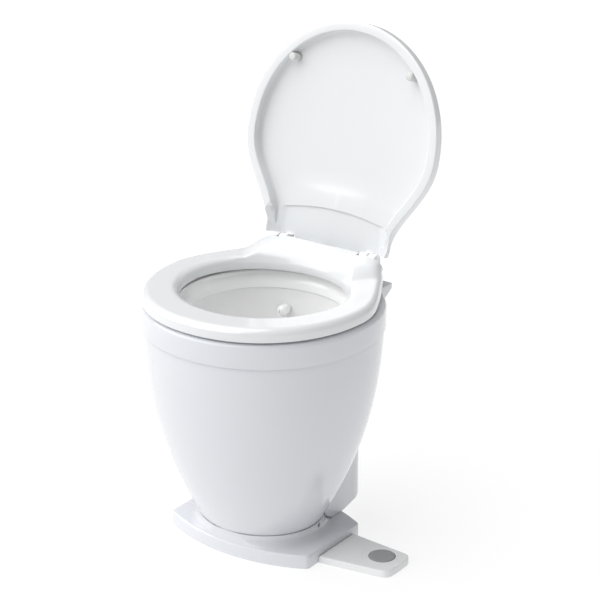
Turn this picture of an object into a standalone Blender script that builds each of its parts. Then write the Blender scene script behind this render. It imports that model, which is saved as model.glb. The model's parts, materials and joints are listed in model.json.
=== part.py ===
"""Electric toilet with a foot switch, as an assembly of separate pieces.

Metres, +Z up. The origin is on the floor under the middle of the bowl, -Y is the front, and +X is the
side with the foot switch. The seat is down and the lid is open, leaning back.
"""
import math

import bmesh
import bpy
from mathutils import Matrix, Vector

# Fits shared by all pieces
touch_gap = 0.0003
running_gap = 0.0004
cut_overrun = 0.012
round_steps = 16
loft_steps = 32

# Base plate, plinth and tray
base_half_width = 0.127
base_front_reach = 0.070
base_rear_reach = 0.061
base_arc_rise = 0.032
base_height = 0.021
base_edge_round = 0.003
base_corner_round = 0.008
base_floor_wall = 0.005
base_side_wall = 0.005
plinth_height = 0.0175
plinth_spread = 0.014
plinth_wall = 0.006
cove_shares = ((1.0, 0.0), (0.5, 0.28), (0.2, 0.62), (0.1, 1.0))
cross_rib_width = 0.012
floor_hole_radius = 0.004
floor_hole_x = 0.056
floor_hole_y = 0.045
lock_screw_y = 0.0
lock_head_radius = 0.003
lock_head_height = 0.0016
lock_shank_radius = 0.0016
lock_shank_length = 0.011
lock_recess = 0.0012
lock_crown_share = 0.7

# Bowl skirt: a foot ellipse that swells to the rim
foot_half_width = 0.0956
foot_half_length = 0.0872
foot_centre_y = -0.0128
rim_half_width = 0.175
rim_front = 0.1775
rim_rear = 0.168
rim_power = 2.1
skirt_top = 0.333
skirt_top_inset = 0.0022
skirt_wall = 0.005
skirt_foot_flange = 0.014
skirt_spigot_drop = 0.010
skirt_straight_share = 0.15
skirt_belly_power = 2.3
skirt_levels = 7

# Rim band on top of the skirt, and its rear deck that carries the hinge
band_top = 0.369
band_round = 0.007
band_width = 0.022
band_ledge_drop = 0.0085
band_ledge_width = 0.010
band_ledge_wall = 0.004
band_skirt_lip = 0.011
band_lip_wall = 0.004
band_lip_gap = 0.0016
deck_half_width = 0.111
deck_rear = 0.165
deck_depth_low = 0.021
deck_edge_drop = 0.009
deck_chamfer_run = 0.020
deck_front = 0.105

# Basin with its rolled rim
opening_half_width = 0.126
opening_half_length = 0.122
lip_half_width = 0.117
lip_half_length = 0.115
lip_height = 0.342
basin_rim_drop = 0.0005
basin_wall = 0.004
basin_belly_half_width = 0.126
basin_belly_half_length = 0.121
basin_outlet_radius = 0.025
basin_outlet_y = -0.010
basin_outlet_top = 0.176
basin_outlet_end = 0.152
basin_levels = 6
basin_wall_power = 0.9
basin_rim_round = 0.003

# Seat ring
seat_bottom = 0.372
seat_top = 0.392
seat_opening_rear = 0.110
seat_half_width = 0.173
seat_front = 0.1775
seat_neck_half_width = 0.108
seat_rear = 0.137
seat_neck_y = 0.150
seat_waist_share = 2.0
seat_edge_round = 0.011
seat_inner_round = 0.012
seat_under_round = 0.004
seat_power = 2.1
neck_corner_round = 0.010
bumper_radius = 0.008
bumper_height = 0.0024
bumper_front_x = 0.090
bumper_front_y = 0.112
bumper_rear_x = 0.130
bumper_rear_y = 0.050

# Raised rear deck of the seat
seat_deck_rise = 0.020
seat_deck_top = seat_top + seat_deck_rise
seat_deck_foot_y = -0.012
seat_deck_ramp_y = 0.134
seat_deck_slant_share = 0.935
seat_deck_rise_shares = (0.0, 0.18, 0.38, 0.60, 0.82, 1.0)
seat_deck_shoulder = 0.027
seat_deck_inset = 0.0012
seat_deck_roll = 0.026
seat_hood_wall = 0.0015
seat_hood_rear = 0.145
seat_round_share = 0.45
flare_run_shares = (0.0, 0.10, 0.30, 0.60, 1.0)
flare_rise_shares = (0.0, 0.35, 0.65, 0.88, 1.02)
seat_steps = 36

# Hinge
hinge_y = 0.148
hinge_sink = 0.009
hinge_z = seat_deck_top - hinge_sink
pin_radius = 0.003
pin_cover = 0.0015
pin_tail = 0.004
ear_setback = 0.014
ear_width = 0.013
ear_outer = seat_neck_half_width - ear_setback
ear_inner = ear_outer - ear_width
pin_outer = ear_outer - pin_cover
knuckle_radius = 0.010
knuckle_width = 0.014
knuckle_gap = 0.001
knuckle_outer = ear_inner - knuckle_gap
knuckle_inner = knuckle_outer - knuckle_width
lug_gap = 0.002
lug_width = 0.014
lug_outer = knuckle_inner - lug_gap
lug_inner = lug_outer - lug_width
pin_inner = lug_inner - pin_tail
lug_radius = 0.007
cradle_inner = 0.018
cradle_setback = 0.006
cradle_outer = pin_inner - cradle_setback
knuckle_web_share = 0.6
bracket_screw_share = 4 / 7
bracket_spread = 0.007
bracket_half_width = ear_inner + bracket_spread
bracket_front = 0.1395
bracket_rear = 0.1635
bracket_wall = 0.0024
damper_radius = 0.0065
damper_inner = 0.010
bracket_screw_x = knuckle_inner + knuckle_width * bracket_screw_share
bracket_screw_y = 0.1540
bracket_screw_radius = 0.002
bracket_screw_head = 0.0042
bracket_screw_length = 0.016

# Lid, drawn closed and then turned open about the hinge
lid_half_width = 0.1675
lid_neck_half_width = 0.109
lid_neck_reach = 0.020
lid_flank_power = 1.2
lid_length = 0.340
lid_widest = 0.163
lid_start = 0.008
lid_power = 2.03
lid_centre_y = -0.015
lid_rest_gap = 0.0035
lid_lip_bottom = seat_top + lid_rest_gap
lid_edge_rise = 0.0015
lid_edge_top = seat_deck_top + lid_edge_rise
lid_crown = 0.008
lid_panel_wall = 0.004
lid_lip_width = 0.014
lid_edge_round = 0.005
lid_open_angle = math.radians(105)
lid_pocket_gap = 0.0025
lid_pocket_front = 0.088
lid_pocket_arc_drop = 0.016
lid_pocket_step = 0.002
lid_ramp_front = 0.034
lid_rear_half_width = 0.100
lid_tab_start = 0.132
lid_tab_reach = 0.007
lid_arch_steps = 12
lid_bumper_x = 0.104
lid_bumper_reach = 0.274
lid_bumper_radius = 0.006
lid_bumper_drop = 0.0022
lid_bumper_sink = 0.0012
lid_steps = 38
lid_core_share = 0.12
lid_top_shares = (0.45, 0.75, 0.9)
lid_round_share = 0.3
lid_pocket_shares = (0.0, 0.5, 1.0)

# Rear housing over the motor
housing_half_width = 0.084
housing_rear = 0.150
housing_front = 0.030
housing_corner = 0.042
housing_top = 0.190
housing_wall = 0.003
housing_foot_y = 0.080
housing_sole_rear = 0.036
housing_top_round = 0.006
housing_screw_x = 0.072
housing_screw_y = 0.073
screw_head_radius = 0.004
screw_head_height = 0.002
screw_shank_radius = 0.0018
screw_shank_length = 0.008

# Opening in the skirt's rear for the motor
skirt_port_half_width = 0.078
skirt_port_low = 0.048
skirt_port_high = 0.186

# Macerator pump, on a shaft along Y
shaft_z = 0.088
shaft_radius = 0.004
chamber_radius = 0.042
chamber_wall = 0.004
chamber_front = -0.046
chamber_rear = 0.034
chamber_lid_wall = 0.005
spigot_depth = 0.003
chamber_neck_top = 0.148
chamber_foot_half_width = 0.034
chamber_foot_half_length = 0.024
gasket_wall = 0.004
seal_radius = 0.011
blade_reach = 0.030
blade_width = 0.012
blade_tip_share = 0.7
blade_thick = 0.003
blade_y = -0.024
impeller_radius = 0.034
impeller_y = 0.004
impeller_disc = 0.003
impeller_height = 0.014
impeller_hub = 0.009
vane_count = 6
vane_wall = 0.003
vane_sweep = math.radians(14)
outlet_y = 0.0
elbow_lead = 0.002
elbow_bend = 0.013
elbow_end = 0.046
outlet_x = -0.060
outlet_z = 0.066
outlet_radius = 0.0115
outlet_bore = 0.0085

# Motor
motor_radius = 0.033
motor_wall = 0.002
motor_front = 0.0396
motor_rear = 0.128
end_cap_length = 0.014
end_cap_wall = 0.003
magnet_wall = 0.005
magnet_share = 0.36
armature_radius = 0.0235
armature_length = 0.046
armature_slots = 8
armature_core_share = 0.45
armature_neck_share = 0.32
armature_stem_share = 0.14
armature_tip_share = 0.40
armature_tooth_inner = 0.0205
armature_start = 0.050
commutator_radius = 0.009
commutator_length = 0.014
bearing_radius = 0.009
bearing_length = 0.006

# Discharge side
tail_flange_radius = 0.0155
tail_flange_wall = 0.003
tail_reach = 0.034
tail_barb_rise = 0.0018
tail_barb_pitch = 0.008
tail_barb_count = 3
joker_length = 0.022
joker_wall = 0.0015
joker_flange = 0.0018
joker_slit = 0.0020
clamp_width = 0.008
clamp_wall = 0.0012

# Rinse water valve and hose
valve_x = 0.0
valve_z = 0.158
valve_half_width = 0.014
valve_half_depth = 0.0185
valve_half_height = 0.010
inlet_radius = 0.0065
inlet_bore = 0.0045
inlet_reach = 0.028
coil_radius = 0.011
coil_height = 0.016
plunger_radius = 0.0035
plunger_length = 0.014
plunger_travel = 0.002
hose_radius = 0.0055
hose_bore = 0.0035
hose_stub = 0.006
hose_bend = 0.014
hose_lead = 0.004
hose_middle_share = 0.6
hose_steps = 16
valve_seat_wall = 0.002
valve_spring_room = 0.0045
plunger_sink = 0.007
nozzle_x = -0.040
nozzle_z = 0.312
nozzle_radius = 0.0085
nozzle_reach = 0.016
nozzle_shank_radius = 0.0055
nozzle_seat_gap = 0.0046
nozzle_tail = 0.003
nozzle_nose_share = 0.7

# Relay box and cable gland
relay_x = -0.029
relay_width = 0.025
relay_depth = 0.020
relay_height = 0.034
relay_z = 0.160
relay_round = 0.002
gland_x = 0.028
gland_z = 0.160
gland_radius = 0.008
gland_bore = 0.0035
gland_reach = 0.014
gland_nut_radius = 0.0105
gland_nut_height = 0.005
gland_taper_share = 0.75

# Foot switch
pedal_gap = 0.0006
pedal_root_near = 0.0445
pedal_root_far = 0.044
pedal_nose_x = 0.236
pedal_nose_near = 0.0265
pedal_nose_far = 0.0365
pedal_nose_radius = 0.014
pedal_nose_bulge = 0.0015
pedal_height = 0.011
pedal_edge_round = 0.0018
pedal_wall = 0.0022
pedal_floor_wall = 0.0018
pedal_tongue_half_width = 0.018
pedal_tongue_length = 0.010
pedal_tongue_height = 0.004
pedal_tongue_z = 0.007
button_x = 0.202
button_y = 0.010
button_radius = 0.0195
button_proud = 0.0008
button_flange = 0.0018
button_gap = 0.0005
button_spring_radius = 0.008
button_spring_wire = 0.0004
button_spring_turns = 3
micro_length = 0.010
micro_width = 0.010
micro_height = 0.0023
micro_x = 0.186


# Colours of the finishes: red, green, blue, roughness, metallic
white_gloss = ("white_gloss", (0.86, 0.87, 0.88), 0.16, 0.0)
warm_white = ("warm_white", (0.88, 0.88, 0.86), 0.18, 0.0)
basin_white = ("basin_white", (0.84, 0.84, 0.83), 0.14, 0.0)
pedal_white = ("pedal_white", (0.84, 0.84, 0.84), 0.30, 0.0)
button_grey = ("button_grey", (0.30, 0.31, 0.32), 0.45, 0.0)
rubber_clear = ("rubber_clear", (0.75, 0.75, 0.74), 0.5, 0.0)
black_plastic = ("black_plastic", (0.03, 0.03, 0.035), 0.5, 0.0)
grey_plastic = ("grey_plastic", (0.35, 0.36, 0.37), 0.5, 0.0)
rubber_black = ("rubber_black", (0.02, 0.02, 0.02), 0.8, 0.0)
steel = ("steel", (0.62, 0.62, 0.63), 0.30, 1.0)
motor_paint = ("motor_paint", (0.06, 0.06, 0.07), 0.4, 0.2)
copper = ("copper", (0.72, 0.38, 0.22), 0.35, 1.0)


def clear_scene():
    for item in list(bpy.data.objects):
        bpy.data.objects.remove(item, do_unlink=True)


def new_collection(name):
    group = bpy.data.collections.new(name)
    bpy.context.scene.collection.children.link(group)
    return group


clear_scene()
parts = new_collection("electric_toilet")
cutters = new_collection("cutters")


def finish_of(look):
    """The Principled material of a finish, made once."""
    name, colour, roughness, metallic = look
    found = bpy.data.materials.get(name)
    if found:
        return found
    made = bpy.data.materials.new(name)
    made.use_nodes = True
    shader = made.node_tree.nodes["Principled BSDF"]
    shader.inputs["Base Color"].default_value = (*colour, 1.0)
    shader.inputs["Roughness"].default_value = roughness
    shader.inputs["Metallic"].default_value = metallic
    made.diffuse_color = (*colour, 1.0)
    return made


def add_object(name, mesh, look, hidden):
    made = bpy.data.objects.new(name, mesh)
    group = cutters if hidden else parts
    group.objects.link(made)
    if hidden:
        made.hide_render = True
        made.display_type = "WIRE"
    else:
        mesh.materials.clear()
        mesh.materials.append(finish_of(look))
    return made


def piece(name, bm, look):
    """A visible piece from a bmesh, with its faces turned out and its round faces smooth."""
    bmesh.ops.recalc_face_normals(bm, faces=bm.faces)
    mesh = bpy.data.meshes.new(name)
    bm.to_mesh(mesh)
    bm.free()
    made = add_object(name, mesh, look, False)
    mesh.shade_smooth()
    mesh.set_sharp_from_angle(angle=math.radians(40))
    return made


def cutter(name, bm):
    """A hidden shape for a Boolean."""
    bmesh.ops.recalc_face_normals(bm, faces=bm.faces)
    mesh = bpy.data.meshes.new(name)
    bm.to_mesh(mesh)
    bm.free()
    return add_object(name, mesh, None, True)


def boolean(target, other, operation):
    step = target.modifiers.new(operation.lower() + "_" + other.name, "BOOLEAN")
    step.operation = operation
    step.solver = "EXACT"
    step.object = other
    return target


def cut(target, other):
    return boolean(target, other, "DIFFERENCE")


def join(target, other):
    return boolean(target, other, "UNION")


def bevel(target, width, segments=2, angle=math.radians(35)):
    step = target.modifiers.new("edges", "BEVEL")
    step.width = width
    step.segments = segments
    step.limit_method = "ANGLE"
    step.angle_limit = angle
    step.use_clamp_overlap = True
    return target


def block(low, high):
    """A box between two corners, as a bmesh."""
    low, high = Vector(low), Vector(high)
    bm = bmesh.new()
    size = high - low
    place = Matrix.Translation((low + high) / 2) @ Matrix.Diagonal((*size, 1.0))
    bmesh.ops.create_cube(bm, size=1.0, matrix=place)
    return bm


along_x = Matrix.Rotation(math.pi / 2, 4, "Y")
along_y = Matrix.Rotation(-math.pi / 2, 4, "X")
along_z = Matrix.Identity(4)


def rod(start, length, radius, turn=along_z, steps=round_steps, end_radius=None):
    """A cylinder or cone that starts at a point and runs along X, Y or Z."""
    bm = bmesh.new()
    place = Matrix.Translation(start) @ turn @ Matrix.Translation((0, 0, length / 2))
    far = radius if end_radius is None else end_radius
    bmesh.ops.create_cone(bm, cap_ends=True, segments=steps, radius1=radius, radius2=far,
                          depth=length, matrix=place)
    return bm


def turned(name, profile, look, start=(0, 0, 0), turn=along_z, steps=round_steps, closed=True):
    """A turned piece: a profile of (radius, height) points, swept once around by a Screw."""
    bm = bmesh.new()
    points = [bm.verts.new((radius, 0, height)) for radius, height in profile]
    for first, second in zip(points, points[1:]):
        bm.edges.new((first, second))
    if closed:
        bm.edges.new((points[-1], points[0]))
    mesh = bpy.data.meshes.new(name)
    bm.to_mesh(mesh)
    bm.free()
    made = add_object(name, mesh, look, look is None)
    sweep = made.modifiers.new("turn", "SCREW")
    sweep.steps = steps
    sweep.render_steps = steps
    sweep.use_merge_vertices = True
    sweep.merge_threshold = 0.00001
    sweep.use_smooth_shade = True
    made.matrix_world = Matrix.Translation(start) @ turn
    return made


def prism(outline, low, high):
    """A flat outline of (x, y) points, raised from one height to another, from a filled curve."""
    curve = bpy.data.curves.new("outline", "CURVE")
    curve.dimensions = "2D"
    curve.fill_mode = "BOTH"
    curve.extrude = (high - low) / 2
    spline = curve.splines.new("POLY")
    spline.points.add(len(outline) - 1)
    for point, (x, y) in zip(spline.points, outline):
        point.co = (x, y, 0, 1)
    spline.use_cyclic_u = True
    holder = bpy.data.objects.new("outline", curve)
    cutters.objects.link(holder)
    bpy.context.view_layer.update()
    mesh = bpy.data.meshes.new_from_object(holder.evaluated_get(bpy.context.evaluated_depsgraph_get()))
    bm = bmesh.new()
    bm.from_mesh(mesh)
    bpy.data.objects.remove(holder)
    bpy.data.curves.remove(curve)
    bpy.data.meshes.remove(mesh)
    bmesh.ops.remove_doubles(bm, verts=bm.verts, dist=0.00001)
    bmesh.ops.translate(bm, verts=bm.verts, vec=(0, 0, (low + high) / 2))
    return bm


def tube(points, radius, sides=2):
    """A round bar along points, as a closed bmesh."""
    curve = bpy.data.curves.new("route", "CURVE")
    curve.dimensions = "3D"
    curve.bevel_depth = radius
    curve.bevel_resolution = sides
    curve.use_fill_caps = True
    spline = curve.splines.new("POLY")
    spline.points.add(len(points) - 1)
    for point, place in zip(spline.points, points):
        point.co = (*place, 1)
    holder = bpy.data.objects.new("route", curve)
    cutters.objects.link(holder)
    bpy.context.view_layer.update()
    mesh = bpy.data.meshes.new_from_object(holder.evaluated_get(bpy.context.evaluated_depsgraph_get()))
    bm = bmesh.new()
    bm.from_mesh(mesh)
    bpy.data.objects.remove(holder)
    bpy.data.curves.remove(curve)
    bpy.data.meshes.remove(mesh)
    bmesh.ops.remove_doubles(bm, verts=bm.verts, dist=0.00001)
    return bm


def loft(rings, closed=False):
    """Faces between rings of equal count. An open loft is capped at both ends."""
    bm = bmesh.new()
    rows = [[bm.verts.new(point) for point in ring] for ring in rings]
    pairs = list(zip(rows, rows[1:]))
    if closed:
        pairs.append((rows[-1], rows[0]))
    for lower, upper in pairs:
        for i in range(len(lower)):
            j = (i + 1) % len(lower)
            bm.faces.new((lower[i], lower[j], upper[j], upper[i]))
    if not closed:
        bm.faces.new(list(reversed(rows[0])))
        bm.faces.new(rows[-1])
    return bm


def smooth_route(knots, count):
    """Points on a smooth curve through the knots."""
    ends = [knots[0]] + list(knots) + [knots[-1]]
    spans = len(knots) - 1
    route = []
    for step in range(count + 1):
        place = step / count * spans
        span = min(int(place), spans - 1)
        t = place - span
        a, b, c, d = [Vector(ends[span + k]) for k in range(4)]
        curve = 2 * b + (c - a) * t + (2 * a - 5 * b + 4 * c - d) * t ** 2
        curve += (3 * b - a - 3 * c + d) * t ** 3
        route.append(curve / 2)
    return route


def oval(half_width, front, rear, centre_y=0.0, power=2.0, steps=loft_steps):
    """A superellipse whose front and rear halves may differ, from +X round by +Y."""
    points = []
    for step in range(steps):
        angle = 2 * math.pi * step / steps
        c, s = math.cos(angle), math.sin(angle)
        x = math.copysign(abs(c) ** (2 / power), c) * half_width
        y = math.copysign(abs(s) ** (2 / power), s) * (rear if s > 0 else front)
        points.append((x, centre_y + y))
    return points


def lift(outline, height):
    return [(x, y, height) for x, y in outline]


def seat_flank(y):
    """Half-width of the seat at a place along Y, without its rear corners."""
    if y <= 0:
        reach = max(0.0, 1 - (-y / seat_front) ** seat_power)
        return seat_half_width * reach ** (1 / seat_power)
    t = y / seat_neck_y
    drop = seat_waist_share * t ** 2 + (1 - seat_waist_share) * t ** 3
    return seat_half_width + (seat_neck_half_width - seat_half_width) * drop


def seat_side(y):
    """Half-width of the seat ring's outline at a place along Y, with round rear corners."""
    side = seat_flank(y)
    into_corner = y - (seat_rear - neck_corner_round)
    if into_corner > 0:
        rest = max(0.0, neck_corner_round ** 2 - into_corner ** 2)
        side -= neck_corner_round - math.sqrt(rest)
    return side


def lid_side(y):
    """Half-width of the closed lid's outline at a place along Y."""
    reach = hinge_y - y
    if reach >= lid_widest:
        t = (reach - lid_widest) / (lid_length - lid_widest)
        return lid_half_width * max(0.0, 1 - t ** lid_power) ** (1 / lid_power)
    t = min(1.0, (lid_widest - reach) / (lid_widest - lid_neck_reach)) ** lid_flank_power
    ease = t * t * (3 - 2 * t)
    return lid_half_width + (lid_neck_half_width - lid_half_width) * ease


def reach_to(side, front_y, rear_y, centre_y, angle):
    """How far a ray from (0, centre_y) goes before it leaves an outline given by its side function."""
    near, far = 0.0, 2 * (rear_y - front_y)
    c, s = math.cos(angle), math.sin(angle)
    for _ in range(40):
        middle = (near + far) / 2
        y = centre_y + middle * s
        inside = front_y < y < rear_y and abs(middle * c) < side(y)
        near, far = (middle, far) if inside else (near, middle)
    return near


def skirt_share(t):
    """How far the skirt's side has swelled from the foot to the rim, at a share t of its height."""
    bend = (1 - skirt_straight_share) * (1 - t) ** skirt_belly_power
    return 1 - bend - skirt_straight_share * (1 - t)


foot_z = base_height + plinth_height + touch_gap
valve_y = housing_rear - housing_wall - touch_gap - valve_half_depth


def skirt_ring(height, inset=0.0, steps=loft_steps):
    """The skirt's outline at a height, drawn in by an inset."""
    t = (height - foot_z) / (skirt_top - foot_z)
    swell = skirt_share(t)
    width = foot_half_width + (rim_half_width - skirt_top_inset - foot_half_width) * swell
    front = foot_half_length + (rim_front - skirt_top_inset - foot_half_length) * swell
    rear = foot_half_length + (rim_rear - skirt_top_inset - foot_half_length) * swell
    power = 2 + (rim_power - 2) * t
    centre = foot_centre_y * (1 - swell)
    outline = oval(width - inset, front - inset, rear - inset, centre, power, steps)
    return lift(outline, height)


def skirt_heights():
    step = (skirt_top - foot_z) / skirt_levels
    return [foot_z + step * i for i in range(skirt_levels + 1)]


def foot_ring(grow, height, steps=loft_steps):
    outline = oval(foot_half_width + grow, foot_half_length + grow, foot_half_length + grow,
                   foot_centre_y, 2.0, steps)
    return lift(outline, height)


def arc_side(x_from, x_to, y_ends, rise, steps=10):
    """A shallow arc across the front or rear of the base, bulging by a rise."""
    chord = abs(x_to - x_from) / 2
    radius = (chord ** 2 + rise ** 2) / (2 * abs(rise))
    way = math.copysign(1, rise)
    points = []
    for i in range(steps + 1):
        x = x_from + (x_to - x_from) * i / steps
        points.append((x, y_ends + way * (abs(rise) - radius + math.sqrt(radius ** 2 - x ** 2))))
    return points


def base_outline(inset=0.0):
    side = base_half_width - inset
    front = arc_side(-side, side, -base_front_reach + inset, -base_arc_rise)
    rear = arc_side(side, -side, base_rear_reach - inset, base_arc_rise)
    return front + rear


def rounded(outline, radius, steps=4, least=math.radians(25), sharp=()):
    """An outline with its corners turned into arcs, but for those named as sharp."""
    points = []
    count = len(outline)
    for i in range(count):
        before = Vector(outline[i - 1])
        here = Vector(outline[i])
        after = Vector(outline[(i + 1) % count])
        back, ahead = (before - here), (after - here)
        turn = math.pi - back.angle(ahead)
        if turn < least or i in sharp:
            points.append(tuple(here))
            continue
        back.normalize()
        ahead.normalize()
        run = radius * math.tan(turn / 2)
        centre = here + (back + ahead).normalized() * (radius / math.cos(turn / 2))
        start = here + back * run - centre
        sweep = start.angle_signed(here + ahead * run - centre)
        for k in range(steps + 1):
            angle = -sweep * k / steps
            c, s = math.cos(angle), math.sin(angle)
            points.append((centre.x + start.x * c - start.y * s, centre.y + start.x * s + start.y * c))
    return points


def across(bm):
    """Turn a prism drawn in (y, z) so that its length runs along X."""
    turn = Matrix(((0, 0, 1, 0), (1, 0, 0, 0), (0, 1, 0, 0), (0, 0, 0, 1)))
    bmesh.ops.transform(bm, matrix=turn, verts=bm.verts)
    return bm


def along(bm):
    """Turn a prism drawn in (x, z) so that its length runs along Y, from low to high."""
    turn = Matrix(((1, 0, 0, 0), (0, 0, 1, 0), (0, 1, 0, 0), (0, 0, 0, 1)))
    bmesh.ops.transform(bm, matrix=turn, verts=bm.verts)
    return bm


def ring_profile(inner, outer, length):
    """A plain ring: up its bore and down its outer side."""
    return [(inner, 0), (inner, length), (outer, length), (outer, 0)]


lock_screw_z = foot_z - skirt_spigot_drop / 2
lock_seat_x = foot_half_width * math.sqrt(1 - ((lock_screw_y - foot_centre_y) / foot_half_length) ** 2)
facing_left = Matrix.Rotation(math.pi, 4, "Z") @ along_x
sides = (("left", -1), ("right", 1))


def side_turn(side):
    return along_x if side > 0 else facing_left


def build_base():
    """Base plate with a plinth ring that the skirt's spigot stands in, hollow below."""
    outline = rounded(base_outline(), base_corner_round)
    base = piece("base_plate", prism(outline, 0, base_height), white_gloss)
    bevel(base, base_edge_round)
    steps = [foot_ring(plinth_spread, base_height - base_floor_wall / 2)]
    for spread_share, rise_share in cove_shares:
        steps.append(foot_ring(plinth_spread * spread_share, base_height + plinth_height * rise_share))
    plinth = cutter("plinth_body", loft(steps))
    within = prism(rounded(base_outline(base_edge_round / 2), base_corner_round), 0, foot_z + cut_overrun)
    boolean(plinth, cutter("within_base", within), "INTERSECT")
    join(base, plinth)
    tray = [foot_ring(-plinth_wall, base_height), foot_ring(-plinth_wall, foot_z + cut_overrun)]
    cut(base, cutter("plinth_tray", loft(tray)))
    pocket_top = base_height - base_floor_wall
    pocket = cutter("base_pocket", prism(base_outline(base_side_wall), -cut_overrun, pocket_top))
    rib_low = -cut_overrun * 2
    half = cross_rib_width / 2
    rib = block((-base_half_width, -half, rib_low), (base_half_width, half, pocket_top + cut_overrun))
    cut(pocket, cutter("rib_across", rib))
    rib = block((-half, -base_half_width, rib_low), (half, base_half_width, pocket_top + cut_overrun))
    cut(pocket, cutter("rib_along", rib))
    for side in (-1, 1):
        for end in (-1, 1):
            low = (side * floor_hole_x, end * floor_hole_y, rib_low)
            boss = rod(low, pocket_top + cut_overrun * 3, floor_hole_radius * 2, steps=12)
            cut(pocket, cutter("hole_boss", boss))
            hole = rod(low, base_height + cut_overrun * 3, floor_hole_radius, steps=12)
            cut(base, cutter("floor_hole", hole))
    cut(base, pocket)
    slot_low = (base_half_width - base_side_wall * 2, -pedal_tongue_half_width - running_gap,
                pedal_tongue_z - pedal_tongue_height / 2 - running_gap)
    slot_high = (base_half_width + cut_overrun, pedal_tongue_half_width + running_gap,
                 pedal_tongue_z + pedal_tongue_height / 2 + running_gap)
    cut(base, cutter("tongue_slot", block(slot_low, slot_high)))
    for name, side in sides:
        head = (side * (lock_seat_x - lock_recess), lock_screw_y, lock_screw_z)
        recess = rod(head, cut_overrun, lock_head_radius + running_gap, side_turn(side), 12)
        cut(base, cutter("lock_recess", recess))
        cut(base, cutter("lock_hole", lock_shank_shape(side, running_gap)))
        low = (side * housing_screw_x, housing_screw_y, base_height - screw_shank_length)
        cut(base, cutter("housing_screw_hole", rod(low, cut_overrun, screw_shank_radius + touch_gap,
                                                   steps=12)))
    return base


def lock_shank_shape(side, gap):
    start = (side * (lock_seat_x - lock_recess - lock_shank_length), lock_screw_y, lock_screw_z)
    return rod(start, lock_shank_length + lock_recess, lock_shank_radius + gap, side_turn(side), 10)


def build_lock_screws():
    """Two side screws that hold the bowl down in its plinth."""
    for name, side in sides:
        face = lock_seat_x - lock_recess + touch_gap
        profile = [(0, lock_head_height), (lock_head_radius * lock_crown_share, lock_head_height),
                   (lock_head_radius, lock_head_height / 2), (lock_head_radius, 0),
                   (lock_shank_radius, 0), (lock_shank_radius, -lock_shank_length), (0, -lock_shank_length)]
        turned("lock_screw_" + name, profile, steel, (side * face, lock_screw_y, lock_screw_z),
               side_turn(side), 12, closed=False)


def build_skirt():
    """Outer shell of the bowl, with a foot flange and a spigot that drops into the plinth."""
    spigot = plinth_wall + running_gap
    spigot_low = foot_z - skirt_spigot_drop
    rings = [skirt_ring(height) for height in skirt_heights()]
    rings += [skirt_ring(height, skirt_wall) for height in reversed(skirt_heights()[1:])]
    rings += [foot_ring(-skirt_wall, foot_z + skirt_wall * 2)]
    rings += [foot_ring(-skirt_foot_flange, foot_z + skirt_wall)]
    rings += [foot_ring(-skirt_foot_flange, spigot_low), foot_ring(-spigot, spigot_low)]
    rings += [foot_ring(-spigot, foot_z)]
    skirt = piece("bowl_skirt", loft(rings, closed=True), white_gloss)
    port = block((-skirt_port_half_width, 0, skirt_port_low),
                 (skirt_port_half_width, rim_rear + cut_overrun, skirt_port_high))
    cut(skirt, cutter("motor_port", port))
    for name, side in sides:
        cut(skirt, cutter("skirt_lock_hole", lock_shank_shape(side, running_gap)))
    return skirt


def rim_ring(inset, height, steps=loft_steps):
    outline = oval(rim_half_width - inset, rim_front - inset, rim_rear - inset, 0.0, rim_power, steps)
    return lift(outline, height)


def arc_points(centre, radius_x, radius_z, start, end, steps):
    """Points on an elliptic arc in a cross-section, angles in degrees."""
    points = []
    for k in range(steps + 1):
        angle = math.radians(start + (end - start) * k / steps)
        points.append((centre[0] + radius_x * math.cos(angle), centre[1] + radius_z * math.sin(angle)))
    return points


band_bottom = skirt_top + touch_gap
ledge_top = band_top - band_ledge_drop
ledge_bottom = ledge_top - band_ledge_wall
ledge_inset = band_width + band_ledge_width


def build_band():
    """Rim band on the skirt, with a ledge for the basin and the rear deck for the hinge."""
    lip = skirt_top_inset + skirt_wall + band_lip_gap
    section = [(0, band_bottom)]
    section += arc_points((band_round, band_top - band_round), -band_round, band_round, 0, 90, 3)
    section += [(band_width, band_top), (band_width, ledge_top), (ledge_inset, ledge_top)]
    section += [(ledge_inset, ledge_bottom), (lip + band_lip_wall, ledge_bottom)]
    section += [(lip + band_lip_wall, band_bottom - band_skirt_lip), (lip, band_bottom - band_skirt_lip)]
    section += [(lip, band_bottom)]
    band = piece("rim_band", loft([rim_ring(*point) for point in section], closed=True), white_gloss)
    low = band_top - deck_depth_low
    outline = [(deck_front, band_top), (deck_front, low), (deck_rear - deck_chamfer_run, low),
               (deck_rear, band_top - deck_edge_drop), (deck_rear, band_top)]
    deck = cutter("rear_deck", across(prism(outline, -deck_half_width, deck_half_width)))
    bevel(deck, touch_gap * 5, 2)
    core = [rim_ring(band_width / 2, low - cut_overrun), rim_ring(band_width / 2, band_top + cut_overrun)]
    cut(deck, cutter("deck_core", loft(core)))
    join(band, deck)
    for name, side in sides:
        low_end = (side * bracket_screw_x, bracket_screw_y, band_top - bracket_screw_length)
        hole = rod(low_end, bracket_screw_length + cut_overrun, bracket_screw_radius + touch_gap, steps=12)
        cut(band, cutter("bracket_screw_hole", hole))
    return band


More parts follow.
